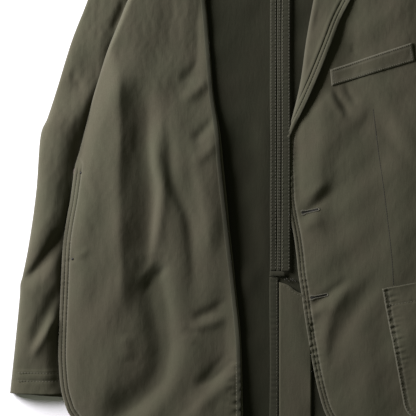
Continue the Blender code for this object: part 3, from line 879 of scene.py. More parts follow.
# Seam binding and vent cloth, darkened as painted shade of the hollow down the centre back; the page's
# facing binding takes the same colour.
PAINTED_SHADE_BINDING = ClothFinish("twill_binding_painted_shade", (0.0245, 0.0244, 0.0145), (0.066, 0.062, 0.044), wear_and_highlight=0.5,
                      pitch=0.0008)
THREAD = PlainFinish("olive_thread", (0.075, 0.072, 0.048), 0.7, 900.0, 0.25)
SHANK_THREAD = PlainFinish("shank_thread", (0.008, 0.008, 0.006), 0.7, 900.0, 0.25)
# Near-black: painted shadow in the dart's sunken seam; the vent's thread loops are drawn in it too.
SHADOW = PlainFinish("painted_seam_shadow", (0.018, 0.017, 0.01), 0.9, 500.0, 0.3)
# Near-black: painted shadow inside the buttonhole slits.
SLIT_SHADOW = PlainFinish("buttonhole_painted_shadow", (0.008, 0.008, 0.006), 0.95, 300.0, 0.2)
HORN = PlainFinish("brown_horn", (0.06, 0.045, 0.03), 0.3, 160.0, 0.45)
TABLE = PlainFinish("white_table", (0.94, 0.94, 0.94), 0.9, 6.0, 0.01)


class Wardrobe:
    """Builds each finish once and hands it out by name."""

    def __init__(self) -> None:
        """Make the node groups and the materials."""
        groups = {"twill": twill_group(), "dye": dye_group(), "wear_and_highlight": wear_and_highlight_group()}
        self.made: dict[str, bpy.types.Material] = {}
        for finish in (OUTSIDE, INSIDE, PAINTED_SHADE_BACKING, PAINTED_SHADE_BINDING):
            self.made[finish.name] = finish.build(groups)
        for finish in (THREAD, SHANK_THREAD, SHADOW, SLIT_SHADOW, HORN, TABLE):
            self.made[finish.name] = finish.build()

    def of(self, finish: ClothFinish | PlainFinish) -> bpy.types.Material:
        """The material of a finish."""
        return self.made[finish.name]


# ---------------------------------------------------------------- meshes


def make_object(name: str, points: np.ndarray, faces: Sequence[Sequence[int]],
                worn_and_lit: np.ndarray | None = None) -> bpy.types.Object:
    """Smooth mesh object in the frame.

    Args:
        name: Piece name.
        points: Corners on the plan, in millimetres.
        faces: Corner numbers of each face.
        worn_and_lit: Wear and painted highlight of each corner, from 0 to 1.

    Returns:
        The object, linked to the scene.
    """
    mesh = bpy.data.meshes.new(name)
    mesh.from_pydata(PLAN.metres(points).tolist(), [], [tuple(f) for f in faces])
    mesh.update()
    mesh.shade_smooth()
    layer = mesh.attributes.new("worn_and_lit", "FLOAT", "POINT")
    layer.data.foreach_set("value", np.zeros(len(points)) if worn_and_lit is None else worn_and_lit)
    obj = bpy.data.objects.new(name, mesh)
    bpy.context.scene.collection.objects.link(obj)
    return obj


def grid_faces(rows: int, columns: int, start: int = 0) -> np.ndarray:
    """Quads of a grid of points in row order."""
    first = (np.arange(rows - 1)[:, None] * columns + np.arange(columns - 1)).ravel() + start
    return np.stack([first, first + 1, first + columns + 1, first + columns], axis=1)


def cloth_object(name: str, grid: np.ndarray, material: bpy.types.Material, wall: float = CLOTH,
                 worn_and_lit: np.ndarray | None = None) -> bpy.types.Object:
    """Thin closed cloth through a grid of points.

    Args:
        name: Piece name.
        grid: Rows, columns and x, y, z.
        material: Cloth finish.
        wall: Cloth thickness.
        worn_and_lit: Wear and painted highlight of each grid point.

    Returns:
        The object with its thickness applied by a modifier.
    """
    rows, columns = grid.shape[:2]
    obj = make_object(name, grid.reshape(-1, 3), grid_faces(rows, columns),
                      None if worn_and_lit is None else worn_and_lit.ravel())
    obj.data.materials.append(material)
    thick = obj.modifiers.new("cloth", "SOLIDIFY")
    thick.thickness = wall * MM
    thick.offset = 0.0
    return obj


def on_height(grid: np.ndarray, height: Height) -> np.ndarray:
    """Plan grid with heights added as its third number."""
    z = height(grid.reshape(-1, 2)).reshape(grid.shape[:2])
    return np.dstack([grid, z])


def sheet_area(grid: np.ndarray) -> float:
    """Plan area of a grid, in square metres."""
    p = grid[..., :2]
    a = p[1:, 1:] - p[:-1, :-1]
    b = p[1:, :-1] - p[:-1, 1:]
    return float(np.abs(a[..., 0] * b[..., 1] - a[..., 1] * b[..., 0]).sum() / 2) * MM * MM


def settle(obj: bpy.types.Object, nodes: Sequence[str], slot: str | None = None) -> None:
    """Tie a piece to the garment's body and hide the CAD nodes that it replaces."""
    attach(obj, BODY)
    if nodes:
        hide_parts(*nodes)
    slot or nodes[0]


# ---------------------------------------------------------------- stitching


@dataclass
class Stitches:
    """Rows of thread stitches gathered into one joined mesh."""

    name: str
    slot: str
    length: float = 2.5
    gap: float = 1.3
    width: float = 0.8
    rise: float = 0.42
    marks: list[tuple[np.ndarray, np.ndarray, float]] = field(default_factory=list)

    def row(self, line: np.ndarray, height: Height) -> None:
        """Sew along a plan line that lies on a surface."""
        pitch = self.length + self.gap
        count = int(length_of(line) / pitch)
        if count < 1:
            return
        shares = (np.arange(count) + 0.5) / count
        half = 0.5 * self.length / (count * pitch)
        ends = [at_shares(line, np.clip(shares + side * half, 0, 1)) for side in (-1, 1)]
        tips = [np.column_stack([e, height(e)]) for e in ends]
        self.marks += [(a, b, 1.0) for a, b in zip(*tips)]

    def mark(self, start: Sequence[float], stop: Sequence[float], thick: float = 1.0) -> None:
        """Add one stitch between two points in space."""
        self.marks.append((np.array(start, float), np.array(stop, float), thick))

    def build(self, material: bpy.types.Material) -> bpy.types.Object:
        """Join the stitches into one mesh.

        Args:
            material: Thread finish.

        Returns:
            The object.
        """
        ring = [(0, -1, 0), (0, -0.6, 0.8), (0, 0.6, 0.8), (0, 1, 0), (0, 0, -0.8)]
        points = []
        faces = []
        for start, stop, thick in self.marks:
            run = stop - start
            size = np.linalg.norm(run)
            along = run / size
            across = np.cross((0, 0, 1), along)
            across /= np.linalg.norm(across)
            up = np.cross(along, across)
            first = len(points)
            for share, fat in ((-0.02, 0.35), (0.2, 1.0), (0.8, 1.0), (1.02, 0.35)):
                sink = -0.5 * self.rise if fat < 1 else 0.0
                centre = start + run * share + up * sink
                for _, side, lift in ring:
                    points.append(centre + across * side * self.width / 2 * fat * thick
                                  + up * lift * self.rise * fat * thick)
            sides = len(ring)
            for k in range(3):
                for j in range(sides):
                    a = first + sides * k + j
                    b = first + sides * k + (j + 1) % sides
                    faces.append((a, b, b + sides, a + sides))
            faces.append(tuple(first + j for j in reversed(range(sides))))
            faces.append(tuple(first + 3 * sides + j for j in range(sides)))
        obj = make_object(self.name, np.array(points), faces)
        obj.data.materials.append(material)
        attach(obj, BODY)
        return obj


def inset_line(line: np.ndarray, inset: float, trim: float = 0.0) -> np.ndarray:
    """Line beside another, to its right when the inset is above 0.

    Args:
        line: The edge.
        inset: Distance to the new line.
        trim: Length left off each end.

    Returns:
        The new line.
    """
    run = np.gradient(line, axis=0)
    run /= np.linalg.norm(run, axis=1)[:, None]
    moved = line + np.column_stack([run[:, 1], -run[:, 0]]) * inset
    total = length_of(moved)
    shares = np.linspace(trim / total, 1 - trim / total, max(int(total / 4), 3))
    return at_shares(moved, shares)


def part_of(line: np.ndarray, low: float, high: float) -> np.ndarray:
    """Stretch of a line whose points lie between two heights on the plan."""
    return line[(line[:, 1] >= low) & (line[:, 1] <= high)]


# ---------------------------------------------------------------- the back


@dataclass(frozen=True)
class SeamFold:
    """One turned fold of the bound centre-back seam.

    Attributes:
        left: Its left edge on the plan.
        right: Its right edge on the plan.
        lift: Its height above the back.
        cut: Width of the strip laid flat; not used.
        area: Area of the strip laid flat, in square metres; 0 where it is measured on the shape.
    """

    left: float
    right: float
    lift: float
    cut: float
    area: float = 0.0


@dataclass
class Back:
    """Both back panels, the bound centre-back seam and the vent."""

    folds: tuple[SeamFold, ...] = (SeamFold(-10.4, -2.9, 2.2, 10.0, 0.00345),
                                   SeamFold(-1.7, 2.7, 2.6, 10.0, 0.002024),
                                   SeamFold(3.7, 14.0, 4.8, 11.3))
    seam_top: float = 676.0
    seam_cut: float = 460.0
    vent_top: float = 217.0
    band: tuple[float, float] = (-11.0, 14.0)
    underlap: float = 41.0

    def panel(self, side: int) -> np.ndarray:
        """Plan grid of one back panel, side +1 for the wearer's left."""
        seam = np.array([(0.15 * side, 0.5), (0.15 * side, 680)])
        top = NECK_TO_TIP * (side, 1)
        if side > 0:
            hem = np.array([(0.15, 0.5), (HALF_HEM, 8)])
            return coons(hem, SIDE_LEFT, top, seam, 70, 165)
        hem = np.array([(-PULLED_SIDE, 1), (-0.15, 0.5)])
        return coons(hem, seam, top[::-1], SIDE_RIGHT, 48, 165)

    def strip(self, left: float, right: float, low: float, high: float, lift: float) -> np.ndarray:
        """Narrow strip of cloth lying on the back between two heights."""
        y = np.linspace(low, high, max(int((high - low) / 1.6), 6))
        across = np.array([0, 0.06, 0.18, 0.5, 0.82, 0.94, 1.0])
        wander = Drift(int(left + 40), 0.35, 60, 160).height(np.column_stack([y * 0, y]))
        x = left + (right - left) * across[None, :] + wander[:, None]
        grid = np.dstack([x, np.repeat(y[:, None], len(across), 1)])
        shape = np.array([-0.45, -0.1, 0.1, 0.0, 0.1, -0.1, -0.45])
        wave = 0.3 * np.sin(y / 1.1 + np.sin(y / 7.0)) * np.sin(y / 23.0 + left)
        z = Lay.back(grid.reshape(-1, 2)).reshape(x.shape) + lift + shape + wave[:, None]
        return np.dstack([grid, z])

    def build(self, wardrobe: Wardrobe) -> None:
        """Make the panels, the seam, the vent and their stitching."""
        for side, name in ((1, "left"), (-1, "right")):
            grid = on_height(self.panel(side), Lay.back)
            # The back panels take the darkened backing finish, which is painted shade.
            obj = cloth_object("back_%s_cloth" % name, grid, wardrobe.of(PAINTED_SHADE_BACKING))
            settle(obj, ["back_" + name])
            LOG.info("back %s panel", name)
        self.seam(wardrobe)
        self.vent(wardrobe)

    def seam(self, wardrobe: Wardrobe) -> None:
        """Bound seam allowances down the centre back."""
        low, high = self.vent_top, self.seam_top
        thread = Stitches("centre_back_stitches", "centre_back_seam")
        for number, fold in enumerate(self.folds):
            grid = self.strip(fold.left, fold.right, low, high, fold.lift)
            obj = cloth_object("centre_back_fold_%d" % number, grid, wardrobe.of(PAINTED_SHADE_BINDING), 0.9)
            settle(obj, ["centre_back_seam"])
            fold.area or sheet_area(grid)
            for x in (fold.left + 1.1, fold.right - 1.1):
                thread.row(np.linspace((x, low + 2), (x, high), 200),
                           lambda xy, up=fold.lift: Lay.back(xy) + up + 0.5)
        bar = self.strip(self.band[0], 8.0, low - 6.5, low - 0.5, 4.2)
        obj = cloth_object("vent_bar", bar, wardrobe.of(PAINTED_SHADE_BINDING), 0.9)
        settle(obj, [], "centre_back_seam")
        thread.build(wardrobe.of(THREAD))
        LOG.info("centre-back seam in %d folds", len(self.folds))

    def vent(self, wardrobe: Wardrobe) -> None:
        """Turned vent edge and the underlap behind it."""
        top = self.vent_top - 8
        thread = Stitches("vent_stitches", "vent_facing", width=0.6, rise=0.3)
        loops = Stitches("vent_loops", "vent_facing")
        grid = self.strip(self.band[0], -0.4, 1, top, 2.2)
        obj = cloth_object("vent_facing_cloth", grid, wardrobe.of(PAINTED_SHADE_BINDING))
        settle(obj, ["vent_facing"])
        thread.row(np.linspace((-2.2, 3), (-2.2, top - 2), 90), lambda xy: Lay.back(xy) + 2.75)
        slope = curve([(0.6, 203), (12, 199), (25, 190), (self.underlap, 187)])
        grid = coons(np.array([(0.6, 1), (self.underlap, 1)]),
                     np.array([(self.underlap, 1), (self.underlap, 187)]), slope,
                     np.array([(0.6, 1), (0.6, 203)]), 20, 60)
        rim = StitchedEdge(slope, 4.0, 0.5, 0.3, 0.15)

        def height(xy: np.ndarray) -> np.ndarray:
            """Underlap lying on the left back."""
            return Lay.back(xy) + 3.0 + rim.height(xy) + 0.7 * hump(xy[:, 0], 20, 14)

        obj = cloth_object("vent_underlap_cloth", on_height(grid, height), wardrobe.of(INSIDE))
        settle(obj, ["vent_underlap"])
        thread.row(inset_line(slope, 3.0, 2), lambda xy: height(xy) + 0.5)
        for k in range(6):
            x = 7 + 2.6 * k
            y = 207 + 1.5 * math.sin(2.2 * k)
            loops.mark((x, y, 4.4), (x + 2.0, y - 2.6, 4.8), 1.6)
        thread.build(wardrobe.of(THREAD))
        loops.build(wardrobe.of(SHADOW))
        LOG.info("vent facing and underlap")


# ---------------------------------------------------------------- left front


@dataclass
class LeftFront:
    """Closed left front with lapel, welt, dart, buttonholes and patch pocket."""

    pocket_corner: tuple[float, float] = (129.0, 195.0)
    pocket_size: tuple[float, float] = (130.0, 172.0)
    pocket_round: float = 26.0
    pocket_tilt: float = 10.5
    lapel_lift: float = 7.4

    def __post_init__(self) -> None:
        """Set up the stitched edges."""
        lower = part_of(FRONT_EDGE, 0, 386)
        self.edge = StitchedEdge(lower, 6.4, 0.4, 1.05, 0.8, 6.0, 4, 5, 4.2)
        self.lapel_edge = StitchedEdge(LAPEL_EDGE, 6.8, 0.5, 1.2, 0.3, 9, 9, 5, 4.4)

    def height(self, xy: np.ndarray) -> np.ndarray:
        """Front cloth with its stitched edge."""
        return Lay.left_front(xy) + self.edge.height(xy)

    def build(self, wardrobe: Wardrobe) -> None:
        """Make the front and everything sewn to it."""
        top = np.array([(80, 697.5), (145, 666), (210, 634.5)])
        hem = np.array([(100, 2), (190, 3), (HALF_HEM, 8)])
        plan = coons(hem, SIDE_LEFT, top, FRONT_EDGE, 90, 430)
        plan = fine_edges(plan, 86, EDGE_STATIONS)
        grid = on_height(plan, self.height)
        worn_and_lit = self.edge.worn_and_lit(plan.reshape(-1, 2)) * (plan.reshape(-1, 2)[:, 1] < 386)
        obj = cloth_object("front_left_cloth", grid, wardrobe.of(OUTSIDE), worn_and_lit=worn_and_lit)
        settle(obj, ["front_left"])
        thread = Stitches("front_left_stitches", "front_left")
        lower = part_of(FRONT_EDGE, 4, 384)
        for inset in (4.3, 8.5):
            thread.row(inset_line(lower, inset, 3), lambda xy: self.height(xy) + 0.5)
        self.dart(wardrobe)
        LOG.info("left front")
        self.lapel(wardrobe)
        self.welt(wardrobe)
        self.pocket(wardrobe)
        self.buttonholes(wardrobe)
        thread.build(wardrobe.of(THREAD))

    def dart(self, wardrobe: Wardrobe) -> None:
        """Near-black strip along the front dart, painted shadow of its sunken seam, from under the welt to
        the pocket.
        """
        seam = Stitches("front_dart", "front_left", 3.0, 0.0, 1.3, 0.16)
        seam.row(at_shares(curve(DART), np.linspace(0, 1, 90)), lambda xy: self.height(xy) + 0.5)
        seam.build(wardrobe.of(SHADOW))

    def lapel(self, wardrobe: Wardrobe) -> None:
        """Rolled lapel whose outer edge stands off the chest."""
        plan = coons(np.array([LAPEL_ROLL[0], LAPEL_EDGE[0]]), LAPEL_EDGE,
                     np.array([LAPEL_ROLL[-1], LAPEL_EDGE[-1]]), LAPEL_ROLL, 40, 110)
        plan = fine_edges(plan, 26, (0, 0.8, 2, 3.5, 5.5), EDGE_STATIONS)

        def height(xy: np.ndarray) -> np.ndarray:
            """Lapel over the front: high roll, lifted edge."""
            roll = nearest(xy, LAPEL_ROLL).gap
            edge = nearest(xy, LAPEL_EDGE).gap
            width = roll + edge + 1e-6
            y = xy[:, 1]
            lift = self.lapel_lift * ramp(y, 388, 440) * (1 - 0.7 * ramp(y, 480, 570))
            share = roll / width
            crown = 2.2 * np.exp(-(roll / 9) ** 2) * ramp(y, 388, 430)
            drop = -2.4 * np.exp(-roll / 1.6)
            return (Lay.left_front(xy) + 2.0 + crown + drop + lift * share ** 0.75
                    + Drift(31, 0.5, 22, 60).height(xy) * ramp(roll, 0, 10)
                    + 0.8 * hump(edge, 11.5, 2.2) * ramp(y, 430, 480)
                    + self.lapel_edge.height(xy))

        grid = on_height(plan, height)
        flat = plan.reshape(-1, 2)
        # Lighter along the lapel's roll: painted highlight where the roll catches the light.
        worn_and_lit = np.clip(self.lapel_edge.worn_and_lit(flat) + 0.5 * np.exp(-nearest(flat, LAPEL_ROLL).gap / 2),
                       0, 1)
        obj = cloth_object("lapel_left_cloth", grid, wardrobe.of(OUTSIDE), 1.3, worn_and_lit)
        settle(obj, ["lapel_left"])
        thread = Stitches("lapel_stitches", "lapel_left")
        thread.row(inset_line(LAPEL_EDGE, -4.6, 4), lambda xy: height(xy) + 0.7)
        thread.build(wardrobe.of(THREAD))
        LOG.info("left lapel")

    def welt(self, wardrobe: Wardrobe) -> None:
        """Breast welt with stitched ends."""
        low_left, low_right, high_right, high_left = (np.array(p, float) for p in WELT_CORNERS)
        plan = coons(np.array([low_left, low_right]), np.array([low_right, high_right]),
                     np.array([high_left, high_right]), np.array([low_left, high_left]), 50, 14)
        outline = np.array([low_left, low_right, high_right, high_left, low_left])
        rim = StitchedEdge(outline, 2.2, 0.35, 0.3, 0.12, 9, 5)

        def height(xy: np.ndarray) -> np.ndarray:
            """Welt lying on the chest, its opening edge a little proud."""
            return (Lay.left_front(xy) + 1.7 + rim.height(xy)
                    + 0.6 * ramp(nearest(xy, outline[2:4]).gap, 14, 0))

        grid = on_height(plan, height)
        obj = cloth_object("breast_welt_cloth", grid, wardrobe.of(OUTSIDE),
                           worn_and_lit=rim.worn_and_lit(plan.reshape(-1, 2)))
        settle(obj, ["breast_welt"])
        thread = Stitches("welt_stitches", "breast_welt", 2.0, 0.8)
        for a, b in ((low_left, high_left), (low_right, high_right), (high_left, high_right),
                     (low_left, low_right)):
            middle = (low_left + high_right) / 2
            way = (middle - (a + b) / 2)
            way /= np.linalg.norm(way)
            thread.row(np.linspace(a, b, 20) * 0.97 + 0.03 * middle + way * 1.6,
                       lambda xy: height(xy) + 0.55)
        thread.build(wardrobe.of(THREAD))
        LOG.info("breast welt")

    def pocket_plan(self) -> np.ndarray:
        """Plan grid of the patch pocket, rounded at its lower corners."""
        width, depth = self.pocket_size
        rows = []
        for down in np.concatenate([np.linspace(depth, depth - 30, 24),
                                    np.linspace(depth - 31.5, 0, 90)]):
            into = max(0.0, down - (depth - self.pocket_round))
            inset = self.pocket_round - math.sqrt(max(self.pocket_round ** 2 - into ** 2, 0))
            rows.append([(x, -down) for x in np.linspace(inset, width - inset, 90)])
        turn = math.radians(self.pocket_tilt)
        spin = np.array([(math.cos(turn), math.sin(turn)), (-math.sin(turn), math.cos(turn))])
        return np.array(rows) @ spin + np.array(self.pocket_corner)

    def pocket(self, wardrobe: Wardrobe) -> None:
        """Patch pocket with puckered edge stitching."""
        plan = self.pocket_plan()
        outline = np.vstack([plan[::-1, 0], plan[0], plan[:, -1]])
        mouth = np.array([plan[-1, 0], plan[-1, -1]])
        seam = StitchedEdge(outline, 4.8, 0.6, 0.7, 0.95, 7.5, 7, 9)

        def height(xy: np.ndarray) -> np.ndarray:
            """Pocket lying on the front, puffed a little."""
            open_gap = nearest(xy, mouth).gap
            side_gap = nearest(xy, outline).gap
            return (Lay.left_front(xy) + 1.8 + 1.6 * ramp(side_gap, 4, 30)
                    + seam.height(xy) + 0.6 * np.exp(-open_gap / 2.5)
                    - 0.6 * hump(open_gap, 22, 1.3) + folds(POCKET_CREASES, xy))

        grid = on_height(plan, height)
        obj = cloth_object("patch_pocket_left_cloth", grid, wardrobe.of(OUTSIDE), 1.1,
                           seam.worn_and_lit(plan.reshape(-1, 2)))
        settle(obj, ["patch_pocket_left"])
        thread = Stitches("pocket_stitches", "patch_pocket_left")
        for inset in (1.6, 6.2):
            line = inset_line(at_shares(outline, np.linspace(0, 1, 160)), -inset, 3)
            thread.row(line, lambda xy: height(xy) + 0.6)
        thread.row(inset_line(np.linspace(mouth[0], mouth[1], 40), 22, 4),
                   lambda xy: height(xy) + 0.6)
        thread.build(wardrobe.of(THREAD))
        LOG.info("patch pocket")

    def buttonholes(self, wardrobe: Wardrobe) -> None:
        """Two keyhole buttonholes worked across the front edge."""
        thread = Stitches("buttonhole_stitches", "front_left", 1.0, 0.2, 0.8, 0.6)
        slit_shadows = []
        for x, y, tilt in BUTTONHOLES:
            turn = math.radians(tilt)
            way = np.array([math.cos(turn), math.sin(turn)])
            off = np.array([-way[1], way[0]])
            centre = np.array([x, y], float)
            for k in range(27):
                share = k / 26 * 2 - 1
                for side in (-1, 1):
                    swell = 1.0 + 0.6 * hump(np.array(share), -0.8, 0.2)
                    inner = centre + way * share * 10.5 + off * side * 0.75 * swell
                    outer = centre + way * share * 10.9 + off * side * 2.5 * swell
                    ends = np.array([inner, outer])
                    z = self.height(ends) + 0.6
                    thread.mark((*inner, z[0] + 0.25), (*outer, z[1]))
            for k in range(7):
                out = -1.2 + 2.4 * k / 6
                tip = centre + way * 10.8 + off * out
                end = centre + way * 13.0 + off * out * 0.7
                z = self.height(np.array([tip, end])) + 0.6
                thread.mark((*tip, z[0] + 0.2), (*end, z[1]))
            path = np.array([centre + way * s for s in np.linspace(-10.5, 10.5, 12)])
            slit_shadows.append((path, off))
        thread.build(wardrobe.of(THREAD))
        # Each slit is a thin near-black sheet, the painted shadow of the cut's opening.
        for number, (path, off) in enumerate(slit_shadows):
            sides = [path + off * s for s in (-0.95, 0, 0.95)]
            grid = np.array([np.column_stack([p, self.height(p) + 0.62]) for p in sides])
            obj = cloth_object("buttonhole_slit_%d" % (number + 1), grid, wardrobe.of(SLIT_SHADOW), 0.1)
            settle(obj, [], "front_left")
        LOG.info("buttonholes")


# ---------------------------------------------------------------- right front


@dataclass
class RightFront:
    """Opened right front: outer cloth, facing, binding, lapel, pocket, buttons."""

    rows: int = 400
    hidden_lapel_top: float = 7.0
    hidden_pocket_top: float = 8.4

    def __post_init__(self) -> None:
        """Set up the stitched edges and the page's plan."""
        self.edge = StitchedEdge(part_of(PAGE_LEFT, 0, 349), 7.1, 0.5, 1.5, 0.35, 8, 2, 4, 4.8)
        self.inner = StitchedEdge(part_of(PAGE_FOLD, 0, 112), 5.0, 0.2, 0.5, 0.9, 11, 6, 9)
        shares = np.linspace(0, 1, self.rows)
        left = at_shares(PAGE_LEFT, shares)
        fold = at_shares(PAGE_FOLD, shares)
        rows = np.array([np.linspace(a, b, 40) for a, b in zip(left, fold)])
        self.plan = fine_edges(rows, 74, EDGE_STATIONS, (0, 0.7, 1.8, 3.2, 4.4, 5.2, 6.0, 7.5, 10))

    def height(self, xy: np.ndarray) -> np.ndarray:
        """Outer cloth of the page."""
        y = xy[:, 1]
        edge = nearest(xy, PAGE_LEFT).gap
        roll = -1.6 * np.exp(-edge / 1.5) * ramp(y, 340, 356) * (1 - ramp(y, 600, 680))
        stitched = self.edge.height(xy) * (1 - ramp(y, 338, 352))
        return Lay.page(xy) + roll + stitched + self.inner.height(xy) * (1 - ramp(y, 96, 116))

    def facing_height(self, xy: np.ndarray) -> np.ndarray:
        """Facing, one layer over the page, dimpled at the button shanks."""
        dimples = np.zeros(len(xy))
        for x, y in SHANKS:
            gap = np.hypot(xy[:, 0] - x, xy[:, 1] - y)
            angle = np.arctan2(xy[:, 1] - y, xy[:, 0] - x)
            dimples += -1.6 * np.exp(-(gap / 3.8) ** 2)
            dimples += 0.45 * np.exp(-(gap / 11) ** 2) * np.sin(3 * angle + x) * ramp(gap, 1, 6)
        return self.height(xy) + LAYER + dimples

    def build(self, wardrobe: Wardrobe) -> None:
        """Make the page and what is sewn to it."""
        grid = on_height(self.plan[::2], self.height)
        lower = []
        side = at_shares(LOWER_SIDE, np.linspace(0, 1, self.rows))[::2]
        for row, end in zip(grid, side):
            x, y, high = row[-1]
            low = float(Lay.back(np.array([(x, y)]))[0]) + 1.4
            radius = (high - low) / 2
            turns = np.linspace(0, math.pi, 10)[1:]
            bend = np.column_stack([x + 0.55 * radius * np.sin(turns), np.full(9, y),
                                    (high + low) / 2 + radius * np.cos(turns)])
            flat = np.linspace(bend[-1], (*end, 2.9), 26)[1:]
            flat[:, 2] = np.maximum(2.9, Lay.back(flat[:, :2]) + 1.4)
            lower.append(np.vstack([row, bend, flat]))
        whole = np.array(lower)
        obj = cloth_object("front_right_cloth", whole, wardrobe.of(OUTSIDE))
        settle(obj, ["front_right"])
        area = sheet_area(self.plan) + sheet_area(np.array(lower)[:, -26:, :2])

        plan = self.plan[:-14]
        flat = plan.reshape(-1, 2)
        # Lighter along the whole rolled edge of the page: painted highlight where the roll faces the light,
        # over the stitched edge's wear.
        obj = cloth_object("facing_right_cloth", on_height(plan, self.facing_height),
                           wardrobe.of(INSIDE), worn_and_lit=np.maximum(
                               self.edge.worn_and_lit(flat), np.exp(-nearest(flat, PAGE_LEFT).gap / 1.2)))
        settle(obj, ["facing_right"])
        sheet_area(plan)

        plan = self.plan[:-14, -6:]
        obj = cloth_object("facing_binding_cloth", on_height(plan, self.binding_height),
                           wardrobe.of(PAINTED_SHADE_BINDING), 1.2)
        settle(obj, ["facing_binding"])
        self.stitching(wardrobe)
        self.hidden(wardrobe)
        LOG.info("opened right front")

    def binding_height(self, xy: np.ndarray) -> np.ndarray:
        """Bound edge, rolled over the facing's raw edge."""
        gap = nearest(xy, PAGE_FOLD).gap
        return self.facing_height(xy) + 0.75 - 0.6 * hump(gap, 5.4, 1.0) - 0.5 * hump(gap, 0, 1.0)

    def stitching(self, wardrobe: Wardrobe) -> None:
        """Edge stitching, binding stitching and the shank threads."""
        thread = Stitches("facing_stitches", "facing_right")
        shanks = Stitches("shank_stitches", "facing_right")
        for inset in (4.7, 9.5):
            line = inset_line(part_of(PAGE_LEFT, 3, 344), inset, 3)
            thread.row(line, lambda xy: self.facing_height(xy) + 0.5)
        line = inset_line(part_of(PAGE_FOLD, 2, 110), -5.4, 2)
        thread.row(line, lambda xy: self.facing_height(xy) + 0.55)
        for x, y in SHANKS:
            for dx, dy in ((1.3, 0.4), (-0.3, 1.3), (0.9, -0.9)):
                z = self.facing_height(np.array([(x, y)]))[0] + 0.7
                shanks.mark((x - dx, y - dy, z), (x + dx, y + dy, z + 0.1), 3.8)
        thread.build(wardrobe.of(THREAD))
        shanks.build(wardrobe.of(SHANK_THREAD))

    def hidden(self, wardrobe: Wardrobe) -> None:
        """Lapel, pocket and buttons that lie under the page."""
        roll = part_of(PAGE_LEFT, 372, 596)
        widths = 6 + 58 * ramp(np.linspace(0, 1, len(roll)), 0, 0.7)
        run = np.gradient(roll, axis=0)
        run /= np.linalg.norm(run, axis=1)[:, None]
        into = np.column_stack([run[:, 1], -run[:, 0]])
        start = roll + into * 3
        end = start + into * widths[:, None]
        grid = np.array([np.linspace(a, b, 16) for a, b in zip(start, end)])
        grid = on_height(grid, lambda xy: np.minimum(Lay.page(xy) - LAYER, self.hidden_lapel_top))
        obj = cloth_object("lapel_right_cloth", grid, wardrobe.of(OUTSIDE), 1.0)
        settle(obj, ["lapel_right"])
        low, high = (PLAN.millimetres(corner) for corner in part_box("patch_pocket_right"))
        shape = LeftFront(pocket_corner=(low[0] + 8, high[1] - 9), pocket_tilt=4.0)
        grid = on_height(shape.pocket_plan(),
                         lambda xy: np.minimum(Lay.page(xy) - LAYER, self.hidden_pocket_top))
        obj = cloth_object("patch_pocket_right_cloth", grid, wardrobe.of(OUTSIDE), 0.8)
        settle(obj, ["patch_pocket_right"])
        for name in ("button_1", "button_2"):
            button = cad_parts[name]
            button.data.materials.clear()
            button.data.materials.append(wardrobe.of(HORN))


# ---------------------------------------------------------------- sleeves


